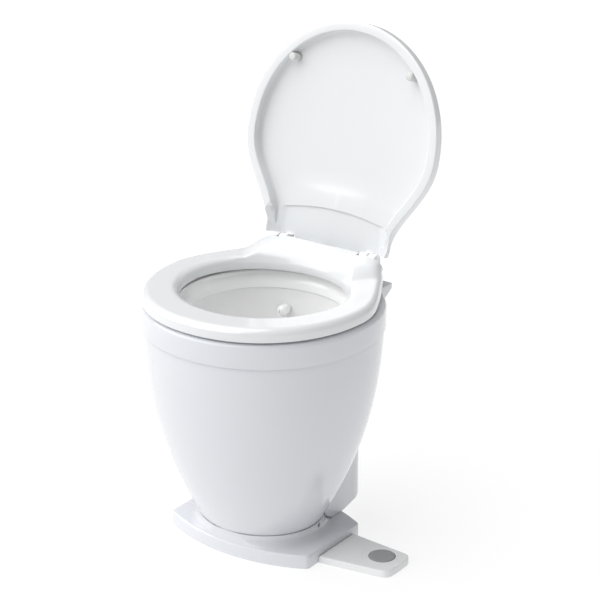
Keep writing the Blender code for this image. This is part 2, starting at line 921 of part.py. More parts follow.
def basin_section():
    """Cross-section of the basin all round its wall: half-width, front, rear, height, centre along Y."""
    top = band_top - basin_rim_drop
    edge = band_width + running_gap
    soft = basin_rim_round
    belly_width, belly_length = basin_belly_half_width, basin_belly_half_length

    def rim(inset, height):
        return (rim_half_width - edge - inset, rim_front - edge - inset, rim_rear - edge - inset, height, 0)

    def even(width, length, height, middle=0.0):
        return (width, length, length, height, middle)

    inside = [rim(0, top - soft), rim(soft, top)]
    inside += [even(opening_half_width + soft * 2, opening_half_length + soft * 2, top)]
    inside += [even(opening_half_width, opening_half_length, top - soft)]
    inside += [even(lip_half_width + soft, lip_half_length + soft, (top + lip_height) / 2)]
    inside += [even(lip_half_width, lip_half_length, lip_height + soft)]
    inside += [even(lip_half_width + soft / 2, lip_half_length + soft / 2, lip_height)]
    wall = basin_wall
    inside += [even(belly_width - wall, belly_length - wall, lip_height)]
    outside = []
    for k in range(1, basin_levels + 1):
        angle = math.pi / 2 * k / basin_levels
        shrink, drop = math.cos(angle) ** basin_wall_power, math.sin(angle)
        height = lip_height - (lip_height - basin_outlet_top) * drop
        middle = basin_outlet_y * (1 - shrink)
        width = basin_outlet_radius + (belly_width - wall - basin_outlet_radius) * shrink
        length = basin_outlet_radius + (belly_length - wall - basin_outlet_radius) * shrink
        inside.append(even(width, length, height, middle))
        outside.append(even(width + wall, length + wall, height - wall * drop, middle))
    end = basin_outlet_radius
    shell = [even(end, end, basin_outlet_end, basin_outlet_y)]
    shell += [even(end + wall, end + wall, basin_outlet_end, basin_outlet_y)]
    outside.reverse()
    outside += [even(belly_width, belly_length, lip_height)]
    seat_z = ledge_top + touch_gap
    outside += [even(belly_width + soft, belly_length + soft, seat_z), rim(0, seat_z)]
    return inside + shell + outside


def build_basin():
    """Inner bowl, hung by its rolled rim from the ledge of the band."""
    rings = []
    for width, front, rear, height, middle in basin_section():
        round_share = min(1.0, max(0.0, (height - basin_outlet_top) / (lip_height - basin_outlet_top)))
        power = 2 + (rim_power - 2) * round_share
        rings.append(lift(oval(width, front, rear, middle, power), height))
    basin = piece("basin", loft(rings, closed=True), basin_white)
    start = (nozzle_x, 0, nozzle_z)
    hole = rod(start, rim_rear, nozzle_shank_radius + running_gap, along_y, 12)
    cut(basin, cutter("nozzle_hole", hole))
    return basin


def basin_wall_y(x, z):
    """Where the basin's wetted wall stands behind the middle, at a place across and up."""
    drop = (lip_height - z) / (lip_height - basin_outlet_top)
    shrink = math.sqrt(1 - drop ** 2) ** basin_wall_power
    inner = basin_outlet_radius + basin_wall
    width = basin_outlet_radius + (basin_belly_half_width - inner) * shrink
    length = basin_outlet_radius + (basin_belly_half_length - inner) * shrink
    power = 2 + (rim_power - 2) * (1 - drop)
    reach = (1 - (abs(x) / width) ** power) ** (1 / power)
    return basin_outlet_y * (1 - shrink) + length * reach


def build_gasket():
    profile = ring_profile(basin_outlet_radius, basin_outlet_radius + gasket_wall,
                           basin_outlet_end - chamber_neck_top - touch_gap * 2)
    turned("basin_gasket", profile, rubber_black, (0, basin_outlet_y, chamber_neck_top + touch_gap))


nozzle_wall_y = basin_wall_y(nozzle_x, nozzle_z)


def build_nozzle():
    """Rinse nozzle: a hooded spout inside the basin, with its shank through the wall."""
    tip = nozzle_wall_y - nozzle_seat_gap - nozzle_reach
    shank_end = nozzle_wall_y + basin_wall + nozzle_tail
    length = shank_end - tip
    head = nozzle_reach
    shank = nozzle_shank_radius
    bore = hose_bore
    profile = [(bore, 0), (bore, length), (shank, length), (shank, head),
               (nozzle_radius, head), (nozzle_radius, head / 2), (nozzle_radius * nozzle_nose_share, 0)]
    turned("rinse_nozzle", profile, basin_white, (nozzle_x, tip, nozzle_z), along_y, 16)


def build_hose():
    """Rinse hose from the valve up behind the basin to the nozzle."""
    start_y = valve_y - valve_half_depth - hose_stub - touch_gap
    end_y = nozzle_wall_y + basin_wall + nozzle_tail + touch_gap
    knots = [(valve_x, start_y - hose_lead, valve_z), (valve_x, start_y - hose_bend, valve_z + hose_bend),
             (nozzle_x * hose_middle_share, end_y, (valve_z + nozzle_z) / 2),
             (nozzle_x, end_y + hose_bend, nozzle_z - hose_bend), (nozzle_x, end_y + hose_lead, nozzle_z)]
    start, end = (valve_x, start_y, valve_z), (nozzle_x, end_y, nozzle_z)
    middle = smooth_route(knots, hose_steps)
    hose = piece("rinse_hose", tube([start] + middle + [end], hose_radius, 2), rubber_black)
    beyond_start = (valve_x, start_y + touch_gap, valve_z)
    beyond_end = (nozzle_x, end_y - touch_gap, nozzle_z)
    cut(hose, cutter("hose_bore", tube([beyond_start] + middle + [beyond_end], hose_bore, 1)))
    return hose


def seat_section(angle):
    """Cross-section of the seat ring in one direction from its middle."""
    c, s = math.cos(angle), math.sin(angle)
    inner = 1 / math.hypot(c / opening_half_width, s / (seat_opening_rear if s > 0 else opening_half_length))
    outer = reach_to(seat_side, -seat_front, seat_rear, 0.0, angle)
    limit = (outer - inner) * seat_round_share
    under = min(seat_under_round, limit / 2)
    edge, roll = min(seat_edge_round, limit), min(seat_inner_round, limit)
    section = [(inner, seat_bottom + under), (inner + under, seat_bottom), (outer - under, seat_bottom)]
    section += [(outer, seat_bottom + under)]
    section += arc_points((outer - edge, seat_top - edge), edge, edge, 0, 90, 3)
    section += arc_points((inner + roll, seat_top - roll), roll, roll, 90, 180, 3)
    return [(r * c, r * s, z) for r, z in section]


def seat_deck_half(middle_y, slant):
    """Half-width of the seat where a slanting line across its deck meets the flank."""
    half = seat_neck_half_width
    for _ in range(20):
        half = (half + seat_flank(middle_y + slant * half)) / 2
    return half


def seat_deck_rings(grow=0.0):
    """Sections of the raised rear deck, from its slanting foot back to the hinge line, or their clearance."""
    rings = []
    low = seat_bottom + seat_deck_inset - grow
    shoulder_low = seat_top - seat_edge_round
    flat_half = seat_neck_half_width - seat_deck_inset - seat_deck_shoulder
    last = len(seat_deck_rise_shares) - 1
    stops = []
    for k, rise_share in enumerate(seat_deck_rise_shares):
        middle_y = seat_deck_foot_y + (seat_deck_ramp_y - seat_deck_foot_y) * k / last
        stops.append((rise_share, middle_y, seat_deck_slant_share * (1 - k / last)))
    stops.append((1.0, hinge_y + grow * 2, 0.0))
    for rise_share, middle_y, slant in stops:
        top = seat_top - seat_deck_inset + (seat_deck_top - seat_top + seat_deck_inset) * rise_share + grow
        half = seat_deck_half(middle_y, slant) - seat_deck_inset + grow
        shoulder = arc_points((flat_half, shoulder_low), half - flat_half, top - shoulder_low, 0, 90, 5)
        right = [(half, low)] + shoulder
        left = [(-x, z) for x, z in reversed(right)]
        rings.append([(x, middle_y + slant * abs(x) - grow, z) for x, z in right + left])
    return rings


def opening_flare():
    """The space over the seat's opening, which the deck's front face rolls down into."""
    steps = [(seat_deck_inset, seat_bottom - cut_overrun)]
    rise = seat_deck_top - seat_top + seat_inner_round
    for run_share, rise_share in zip(flare_run_shares, flare_rise_shares):
        grow = max(seat_deck_roll * run_share, seat_deck_inset)
        steps.append((grow, seat_top - seat_inner_round + rise * rise_share))
    steps.append((seat_deck_roll, seat_deck_top + cut_overrun))
    rings = []
    for grow, height in steps:
        outline = oval(opening_half_width + grow, opening_half_length + grow, seat_opening_rear + grow)
        rings.append(lift(outline, height))
    return loft(rings)


def hinge_bar(side, inner, outer, radius, steps=16):
    """A round bar on the hinge axis, on the left or the right."""
    return rod((side * inner, hinge_y, hinge_z), outer - inner, radius, side_turn(side), steps)


def hang(item, axis):
    """Let a piece or its cutter follow the empty on its joint's axis."""
    item.parent = axis
    item.matrix_parent_inverse = axis.matrix_world.inverted()
    return item


def axis_empty(name, place):
    empty = bpy.data.objects.new(name, None)
    parts.objects.link(empty)
    empty.location = place
    bpy.context.view_layer.update()
    return empty


def build_seat():
    """Seat ring with a raised rear deck and an ear on each side of the hinge."""
    axis = axis_empty("seat_axis", (0, hinge_y, hinge_z))
    angles = [2 * math.pi * k / seat_steps for k in range(seat_steps)]
    seat = piece("seat_ring", loft([seat_section(angle) for angle in angles], closed=True), warm_white)
    deck = cutter("seat_deck", loft(seat_deck_rings()))
    flare = cutter("opening_flare", opening_flare())
    reach = deck_half_width + cut_overrun
    far = hinge_y + cut_overrun * 2
    middle = cutter("hinge_slot", block((-ear_inner, seat_rear, seat_bottom - cut_overrun),
                                        (ear_inner, far, seat_deck_top + cut_overrun)))
    under = cutter("ear_underside", block((-reach, seat_rear, seat_bottom - cut_overrun),
                                          (reach, far, hinge_z - knuckle_radius)))
    cut(deck, flare)
    cut(deck, middle)
    cut(deck, under)
    join(seat, deck)
    hood_half = knuckle_inner - running_gap
    hood = cutter("hinge_hood", block((-hood_half, seat_rear - touch_gap, seat_deck_top - seat_hood_wall),
                                      (hood_half, seat_hood_rear, seat_deck_top)))
    join(seat, hood)
    helpers = [deck, flare, middle, under, hood]
    for name, side in sides:
        ear = cutter("ear_" + name, hinge_bar(side, ear_inner + touch_gap, ear_outer, knuckle_radius))
        bore = cutter("ear_bore_" + name, hinge_bar(side, knuckle_outer, pin_outer + touch_gap * 2,
                                                    pin_radius + running_gap, 12))
        join(seat, ear)
        cut(seat, bore)
        helpers += [ear, bore]
    for item in [seat] + helpers:
        hang(item, axis)
    for name, side in sides:
        for place, x, y in (("front", bumper_front_x, -bumper_front_y),
                            ("rear", bumper_rear_x, bumper_rear_y)):
            low = seat_bottom - touch_gap - bumper_height
            pad = piece("seat_bumper_" + place + "_" + name,
                        rod((side * x, y, low), bumper_height, bumper_radius, steps=12), rubber_clear)
            bevel(pad, bumper_height / 4, 1)
            hang(pad, axis)
    return seat


def lid_top_z(x, y):
    """Height of the lid's upper face: highest along its middle."""
    if y < lid_centre_y:
        out = (x / lid_half_width) ** 2 + ((lid_centre_y - y) / (lid_length - lid_widest)) ** 2
    else:
        out = (x / lid_side(y)) ** 2
    return lid_edge_top + lid_crown * max(0.0, 1 - out)


def lid_rings():
    """Rings of the closed lid, from the middle of its top, over the edge and back along its underside."""
    rear = hinge_y - lid_start
    front = hinge_y - lid_length
    angles = [2 * math.pi * (k + 0.5) / lid_steps for k in range(lid_steps)]
    reaches = [reach_to(lid_side, front, rear, lid_centre_y, angle) for angle in angles]
    edge = lid_edge_round

    def ring(inset, height_of):
        points = []
        for angle, reach in zip(angles, reaches):
            r = max(reach - inset, 0.0) if inset < lid_half_width else reach * lid_core_share
            x, y = r * math.cos(angle), lid_centre_y + r * math.sin(angle)
            points.append((x, y, height_of(x, y)))
        return points

    def share_ring(share, drop):
        points = []
        for angle, reach in zip(angles, reaches):
            x, y = reach * share * math.cos(angle), lid_centre_y + reach * share * math.sin(angle)
            points.append((x, y, lid_top_z(x, y) - drop))
        return points

    rings = [share_ring(lid_core_share, 0)]
    rings += [share_ring(share, 0) for share in lid_top_shares]
    rings += [ring(edge, lambda x, y: lid_top_z(x, y))]
    soft = edge * lid_round_share
    rings += [ring(soft, lambda x, y: lid_top_z(x, y) - soft)]
    rings += [ring(0, lambda x, y: lid_top_z(x, y) - edge)]
    rings += [ring(0, lambda x, y: lid_lip_bottom + edge / 2)]
    rings += [ring(edge / 2, lambda x, y: lid_lip_bottom)]
    rings += [ring(lid_lip_width - edge / 2, lambda x, y: lid_lip_bottom)]
    rings += [ring(lid_lip_width, lambda x, y: lid_lip_bottom + edge / 2)]
    rings += [ring(lid_lip_width + edge / 4, lambda x, y: lid_top_z(x, y) - lid_panel_wall - edge / 2)]
    rings += [ring(lid_lip_width + edge, lambda x, y: lid_top_z(x, y) - lid_panel_wall)]
    rings += [share_ring(share, lid_panel_wall) for share in reversed(lid_top_shares[:-1])]
    rings += [share_ring(lid_core_share, lid_panel_wall)]
    return rings


def lid_pocket():
    """The seat deck's shape with its clearance, which the closed lid fits over."""
    rings = []
    gap = lid_pocket_gap
    low = seat_top - seat_edge_round - cut_overrun
    for share in lid_pocket_shares:
        y = lid_pocket_front + (hinge_y + cut_overrun * 2 - lid_pocket_front) * share
        half = seat_neck_half_width + gap
        centre_z = seat_top - seat_edge_round
        shoulder = arc_points((half - seat_deck_shoulder - gap, centre_z), seat_deck_shoulder + gap,
                              seat_deck_top + gap - centre_z, 0, 90, 4)
        right = [(half, low)] + shoulder
        left = [(-x, z) for x, z in reversed(right)]
        ring = []
        for x, z in right + left:
            arc = lid_pocket_arc_drop * (x / half) ** 2 * (1 - share)
            ring.append((x, y + arc, z))
        rings.append(ring)
    return loft(rings)


def lid_rear():
    """Thicker rear of the lid's panel: it slopes in towards the pocket and stays level beside it."""
    level = seat_deck_top + lid_pocket_gap - lid_pocket_step
    panel = lid_edge_top + lid_crown - lid_panel_wall
    xs = [lid_rear_half_width * (1 - 2 * k / lid_arch_steps) for k in range(lid_arch_steps + 1)]
    rings = []
    for y, low in ((lid_ramp_front, panel), (lid_pocket_front, level), (lid_tab_start, level)):
        under = [(x, y, min(low, lid_top_z(x, y) - lid_panel_wall + touch_gap)) for x in xs]
        over = [(x, y, lid_top_z(x, y) - lid_panel_wall / 2) for x in reversed(xs)]
        rings.append(under + over)
    return loft(rings)


def lid_tab_outline():
    """End view of the lid's middle tab, which follows the lid's crown."""
    low = seat_deck_top + lid_pocket_gap
    half = lug_outer - touch_gap
    outline = [(-half, low), (half, low)]
    for k in range(lid_arch_steps + 1):
        x = half - 2 * half * k / lid_arch_steps
        outline.append((x, lid_top_z(x, lid_tab_start) - touch_gap * 2))
    return outline


def knuckle_web():
    """Side view of the web that joins a knuckle to the lid's panel."""
    front, rear = hinge_y - knuckle_radius + running_gap, hinge_y + knuckle_radius * knuckle_web_share
    low, high = seat_deck_top + lid_pocket_gap, lid_edge_top + lid_crown / 3
    ahead = front - knuckle_radius
    return [(front, hinge_z), (rear, hinge_z), (rear, high), (ahead, high), (ahead, low), (front, low)]


def build_lid():
    """Lid with a lip all round, a recessed panel, a pocket over the seat's deck and two knuckles."""
    axis = axis_empty("lid_axis", (0, hinge_y, hinge_z))
    lid = piece("lid", loft(lid_rings()), white_gloss)
    helpers = []

    def helper(name, bm):
        made = cutter(name, bm)
        helpers.append(made)
        return made

    join(lid, helper("lid_rear", lid_rear()))
    join(lid, helper("lid_tab", along(prism(lid_tab_outline(), lid_tab_start, hinge_y + lid_tab_reach))))
    cut(lid, helper("lid_pocket", lid_pocket()))
    cut(lid, helper("deck_clearance", loft(seat_deck_rings(lid_pocket_gap))))
    for name, side in sides:
        room = hinge_bar(side, knuckle_outer, ear_outer + running_gap, knuckle_radius + running_gap * 2, 24)
        cut(lid, helper("ear_room_" + name, room))
    room = rod((-lug_outer - touch_gap, hinge_y, hinge_z), lug_outer * 2 + touch_gap * 2,
               lug_radius + running_gap, along_x, 24)
    cut(lid, helper("lug_room", room))
    for name, side in sides:
        low_x, high_x = sorted((side * knuckle_inner, side * (knuckle_outer - touch_gap)))
        join(lid, helper("knuckle_web_" + name, across(prism(knuckle_web(), low_x, high_x))))
        bar = hinge_bar(side, knuckle_inner, knuckle_outer - touch_gap, knuckle_radius)
        join(lid, helper("knuckle_" + name, bar))
        bore = hinge_bar(side, lug_outer, ear_inner, pin_radius + running_gap, 12)
        cut(lid, helper("knuckle_bore_" + name, bore))
    for name, side in sides:
        x, y = side * lid_bumper_x, hinge_y - lid_bumper_reach
        socket = rod((x, y, lid_lip_bottom), lid_top_z(x, y) - lid_panel_wall + lid_bumper_sink + touch_gap
                     - lid_lip_bottom, lid_bumper_radius + touch_gap, steps=12)
        cut(lid, helper("bumper_socket_" + name, socket))
    for item in [lid] + helpers:
        hang(item, axis)
    for name, side in sides:
        x, y, low = side * lid_bumper_x, hinge_y - lid_bumper_reach, lid_lip_bottom - lid_bumper_drop
        height = lid_top_z(x, y) - lid_panel_wall + lid_bumper_sink - low
        pad = piece("lid_bumper_" + name, rod((x, y, low), height, lid_bumper_radius, steps=12),
                    rubber_clear)
        bevel(pad, lid_bumper_drop / 2, 1)
        hang(pad, axis)
    axis.rotation_euler = (-lid_open_angle, 0, 0)
    return lid


def build_hinge_bracket():
    """Plate on the rear deck with two lugs for the pins and two cradles for the dampers."""
    low = band_top + touch_gap
    high = low + bracket_wall
    plate = block((-bracket_half_width, bracket_front, low), (bracket_half_width, bracket_rear, high))
    bracket = piece("hinge_bracket", plate, white_gloss)
    for name, side in sides:
        outline = [(hinge_y - lug_radius, high - bracket_wall / 2)]
        outline += [(hinge_y - y, z) for y, z in arc_points((0, hinge_z), lug_radius, lug_radius, 0, 180, 8)]
        outline += [(hinge_y + lug_radius, high - bracket_wall / 2)]
        inner, outer = sorted((side * lug_inner, side * lug_outer))
        join(bracket, cutter("lug_" + name, across(prism(outline, inner, outer))))
        low_x, high_x = sorted((side * cradle_inner, side * cradle_outer))
        cradle = block((low_x, hinge_y - damper_radius + touch_gap, high - bracket_wall / 2),
                       (high_x, hinge_y + damper_radius - touch_gap, hinge_z - damper_radius / 2))
        join(bracket, cutter("cradle_" + name, cradle))
    for name, side in sides:
        cut(bracket, cutter("lug_bore_" + name, hinge_bar(side, damper_inner, lug_outer + cut_overrun / 4,
                                                          pin_radius + touch_gap, 12)))
        room = hinge_bar(side, damper_inner - touch_gap, pin_inner, damper_radius + touch_gap)
        cut(bracket, cutter("damper_room_" + name, room))
        spot = (side * bracket_screw_x, bracket_screw_y, low - cut_overrun)
        cut(bracket, cutter("bracket_hole_" + name, rod(spot, cut_overrun * 2,
                                                        bracket_screw_radius + running_gap, steps=12)))
    return bracket


def build_hinge_pins():
    low = band_top + touch_gap + bracket_wall + touch_gap
    for name, side in sides:
        piece("hinge_pin_" + name, hinge_bar(side, pin_inner, pin_outer, pin_radius, 12), steel)
        end = pin_inner - touch_gap
        body = piece("damper_" + name, hinge_bar(side, damper_inner, end, damper_radius), white_gloss)
        bevel(body, damper_radius / 8, 1)
        profile = [(0, screw_head_height), (bracket_screw_head, screw_head_height), (bracket_screw_head, 0),
                   (bracket_screw_radius, 0), (bracket_screw_radius, touch_gap * 2 - bracket_screw_length),
                   (0, touch_gap * 2 - bracket_screw_length)]
        turned("bracket_screw_" + name, profile, steel, (side * bracket_screw_x, bracket_screw_y, low),
               along_z, 12, closed=False)


def housing_outline(inset):
    half, front = housing_half_width - inset, 0.0 if inset else housing_front
    rear, corner = housing_rear - inset, housing_corner - inset
    points = [(-half, front), (half, front)]
    points += arc_points((half - corner, rear - corner), corner, corner, 0, 90, 8)
    points += arc_points((corner - half, rear - corner), corner, corner, 90, 180, 8)
    return points


def sole_wedge(raise_by):
    """All that lies below the housing's sole, which slopes up behind the base plate."""
    start = base_height + touch_gap + raise_by
    slope = (housing_sole_rear - base_height) / (housing_rear - housing_foot_y)
    end_y = housing_rear + cut_overrun
    outline = [(-cut_overrun, start), (housing_foot_y, start),
               (end_y, start + slope * (end_y - housing_foot_y)), (end_y, -cut_overrun),
               (-cut_overrun, -cut_overrun)]
    return across(prism(outline, -rim_half_width, rim_half_width))


def bowl_room():
    """The foot and skirt of the bowl with a gap, which the housing's front edge follows."""
    gap = running_gap
    rings = [foot_ring(plinth_spread + gap, 0), foot_ring(plinth_spread + gap, base_height + gap)]
    for spread_share, rise_share in cove_shares[1:]:
        rings.append(foot_ring(plinth_spread * spread_share + gap,
                               base_height + plinth_height * rise_share + gap))
    rings += [skirt_ring(height, -gap) for height in skirt_heights()[1:]]
    return loft(rings)


def build_housing():
    """Rear cover over the motor: a shell whose sole slopes up behind the base plate."""
    housing = piece("rear_housing", prism(housing_outline(0.0), base_height / 2, housing_top), white_gloss)
    bevel(housing, housing_top_round, 3, math.radians(60))
    cut(housing, cutter("sole_wedge", sole_wedge(0.0)))
    hollow = cutter("housing_hollow", prism(housing_outline(housing_wall), base_height / 2,
                                            housing_top - housing_wall))
    cut(hollow, cutter("inner_sole", sole_wedge(housing_wall)))
    cut(housing, hollow)
    cut(housing, cutter("bowl_room", bowl_room()))
    for name, x, z, radius in (("inlet", valve_x, valve_z, inlet_radius),
                               ("outlet", outlet_x, outlet_z, outlet_radius),
                               ("gland", gland_x, gland_z, gland_radius)):
        start = (x, housing_rear - housing_corner, z)
        hole = rod(start, housing_corner + cut_overrun, radius + running_gap, along_y, 16)
        cut(housing, cutter(name + "_hole", hole))
    for name, side in sides:
        low = (side * housing_screw_x, housing_screw_y, base_height - cut_overrun / 2)
        hole = rod(low, cut_overrun, screw_shank_radius + running_gap, steps=12)
        cut(housing, cutter("foot_screw_hole", hole))
        seat = base_height + touch_gap + housing_wall + touch_gap
        profile = [(0, screw_head_height), (screw_head_radius, screw_head_height), (screw_head_radius, 0),
                   (screw_shank_radius, 0), (screw_shank_radius, -screw_shank_length),
                   (0, -screw_shank_length)]
        turned("housing_screw_" + name, profile, steel, (side * housing_screw_x, housing_screw_y, seat),
               along_z, 12, closed=False)
    return housing


def build_chamber():
    """Macerator chamber: a cup along Y with an inlet neck, a side outlet and a foot."""
    length = chamber_rear - chamber_front
    chamber = piece("pump_chamber", rod((0, chamber_front, shaft_z), length, chamber_radius, along_y, 24),
                    grey_plastic)
    neck_radius = basin_outlet_radius + chamber_wall
    neck = rod((0, basin_outlet_y, shaft_z), chamber_neck_top - shaft_z, neck_radius, steps=24)
    join(chamber, cutter("chamber_neck", neck))
    boss_length = -outlet_x - elbow_bend - elbow_lead - touch_gap
    boss = rod((0, outlet_y, outlet_z), boss_length, outlet_radius, facing_left, 16)
    join(chamber, cutter("outlet_boss", boss))
    foot_low = base_height + touch_gap
    foot = block((-chamber_foot_half_width, basin_outlet_y - chamber_foot_half_length, foot_low),
                 (chamber_foot_half_width, basin_outlet_y + chamber_foot_half_length,
                  shaft_z - chamber_radius / 2))
    join(chamber, cutter("chamber_foot", foot))
    inner = rod((0, chamber_front + chamber_wall, shaft_z), length, chamber_radius - chamber_wall,
                along_y, 24)
    cut(chamber, cutter("chamber_bore", inner))
    bore = rod((0, basin_outlet_y, shaft_z), chamber_neck_top, basin_outlet_radius, steps=24)
    cut(chamber, cutter("neck_bore", bore))
    bore = rod((-chamber_radius / 2, outlet_y, outlet_z), chamber_radius, outlet_bore, facing_left, 16)
    cut(chamber, cutter("outlet_bore", bore))
    return chamber


def build_back_plate():
    """Plate that closes the chamber and carries the shaft seal and the motor."""
    start = chamber_rear + touch_gap
    wall = chamber_lid_wall
    profile = [(seal_radius + touch_gap, 0), (seal_radius + touch_gap, wall), (chamber_radius, wall),
               (chamber_radius, 0), (chamber_radius - chamber_wall - touch_gap, 0),
               (chamber_radius - chamber_wall - touch_gap, -spigot_depth),
               (chamber_radius - chamber_wall * 2, -spigot_depth), (chamber_radius - chamber_wall * 2, 0)]
    turned("pump_back_plate", profile, grey_plastic, (0, start, shaft_z), along_y, 24)
    turned("shaft_seal", ring_profile(shaft_radius + touch_gap, seal_radius, wall), rubber_black,
           (0, start, shaft_z), along_y, 16)


def polar_outline(points):
    """Points given as (radius, angle) pairs."""
    return [(radius * math.cos(angle), radius * math.sin(angle)) for radius, angle in points]


def placed_along_y(bm, start_y, z):
    """Stand a prism that was drawn flat, with its height running along +Y, on the shaft line."""
    bmesh.ops.transform(bm, matrix=Matrix.Translation((0, start_y, z)) @ along_y, verts=bm.verts)
    return bm


def build_rotor():
    """All that turns with the shaft: macerator blade, impeller, armature and commutator."""
    axis = axis_empty("shaft_axis", (0, chamber_front, shaft_z))
    bore = shaft_radius + touch_gap
    shaft_start = blade_y - blade_thick
    shaft_end = motor_rear - end_cap_wall - touch_gap
    shaft = piece("pump_shaft", rod((0, shaft_start, shaft_z), shaft_end - shaft_start, shaft_radius,
                                    along_y, 16), steel)
    half_angle = math.asin(blade_width * blade_tip_share / 2 / blade_reach)
    hub_angle = math.pi / 2 - math.asin(blade_width / 2 / impeller_hub)
    points = []
    for turn in (0, math.pi):
        points += [(blade_reach, turn - half_angle), (blade_reach, turn + half_angle)]
        middle = turn + math.pi / 2
        points += [(impeller_hub, middle + turn) for turn in (-hub_angle, 0, hub_angle)]
    blade = piece("macerator_blade", placed_along_y(prism(polar_outline(points), 0, blade_thick),
                                                    blade_y, shaft_z), steel)
    cut(blade, cutter("blade_bore", rod((0, blade_y - cut_overrun, shaft_z), cut_overrun * 3, bore,
                                        along_y, 16)))
    disc = rod((0, impeller_y, shaft_z), impeller_disc, impeller_radius, along_y, 24)
    impeller = piece("impeller", disc, black_plastic)
    points = []
    pitch = 2 * math.pi / vane_count
    for k in range(vane_count):
        root = math.asin(vane_wall / 2 / impeller_hub)
        tip = math.asin(vane_wall / 2 / impeller_radius)
        sweep = vane_sweep
        points += [(impeller_hub, k * pitch - root), (impeller_radius - touch_gap, k * pitch - tip + sweep)]
        points += [(impeller_radius - touch_gap, k * pitch + tip + sweep), (impeller_hub, k * pitch + root)]
    vanes = prism(polar_outline(points), impeller_disc / 2 - impeller_height, impeller_disc / 2)
    vanes = placed_along_y(vanes, impeller_y, shaft_z)
    vane_set = cutter("impeller_vanes", vanes)
    join(impeller, vane_set)
    impeller_bore = cutter("impeller_bore", rod((0, impeller_y - impeller_height * 2, shaft_z),
                                                impeller_height * 4, bore, along_y, 16))
    cut(impeller, impeller_bore)
    points = []
    pitch = 2 * math.pi / armature_slots
    neck = armature_radius * armature_core_share
    for k in range(armature_slots):
        middle = k * pitch
        rising = [(neck, armature_neck_share), (armature_tooth_inner, armature_stem_share),
                  (armature_tooth_inner, armature_tip_share), (armature_radius, armature_tip_share)]
        points += [(radius, middle - pitch * share) for radius, share in rising]
        points.append((armature_radius, middle))
        points += [(radius, middle + pitch * share) for radius, share in reversed(rising)]
    start = armature_start
    body = placed_along_y(prism(polar_outline(points), 0, armature_length), start, shaft_z)
    armature = piece("armature", body, copper)
    armature_bore = cutter("armature_bore", rod((0, start - cut_overrun, shaft_z),
                                                armature_length + cut_overrun * 2, bore, along_y, 16))
    cut(armature, armature_bore)
    start += armature_length + touch_gap
    drum = turned("commutator", ring_profile(bore, commutator_radius, commutator_length), copper,
                  (0, start, shaft_z), along_y, 16)
    for item in (shaft, blade, impeller, vane_set, impeller_bore, armature, armature_bore, drum):
        hang(item, axis)


def build_motor():
    """Motor can with two magnets and two bearings, closed by its end cap."""
    can_length = motor_rear - end_cap_length - touch_gap - motor_front
    pocket = bearing_radius + touch_gap
    wall = motor_wall
    profile = [(pocket, 0), (pocket, bearing_length), (pocket + wall, bearing_length), (pocket + wall, wall),
               (motor_radius - wall, wall), (motor_radius - wall, can_length), (motor_radius, can_length),
               (motor_radius, 0)]
    turned("motor_can", profile, motor_paint, (0, motor_front, shaft_z), along_y, 24)
    cap = end_cap_length
    floor = cap - end_cap_wall
    profile = [(0, cap), (motor_radius, cap), (motor_radius, 0), (motor_radius - wall, 0),
               (motor_radius - wall, floor), (pocket + wall, floor), (pocket + wall, floor - bearing_length),
               (pocket, floor - bearing_length), (pocket, floor), (0, floor)]
    cap_start = motor_rear - cap
    turned("motor_end_cap", profile, black_plastic, (0, cap_start, shaft_z), along_y, 24, closed=False)
    race = ring_profile(shaft_radius + touch_gap, bearing_radius, bearing_length - touch_gap)
    turned("bearing_front", race, steel, (0, motor_front + touch_gap, shaft_z), along_y, 16)
    turned("bearing_rear", race, steel, (0, cap_start + floor - bearing_length, shaft_z), along_y, 16)
    outer = motor_radius - wall - touch_gap
    inner = outer - magnet_wall
    spread = math.pi * magnet_share
    for name, middle in (("left", math.pi), ("right", 0.0)):
        points = []
        for radius, order in ((outer, 1), (inner, -1)):
            for k in range(9):
                points.append((radius, middle + order * spread * (k / 4 - 1)))
        arc = prism(polar_outline(points), 0, armature_length)
        piece("magnet_" + name, placed_along_y(arc, armature_start, shaft_z), black_plastic)


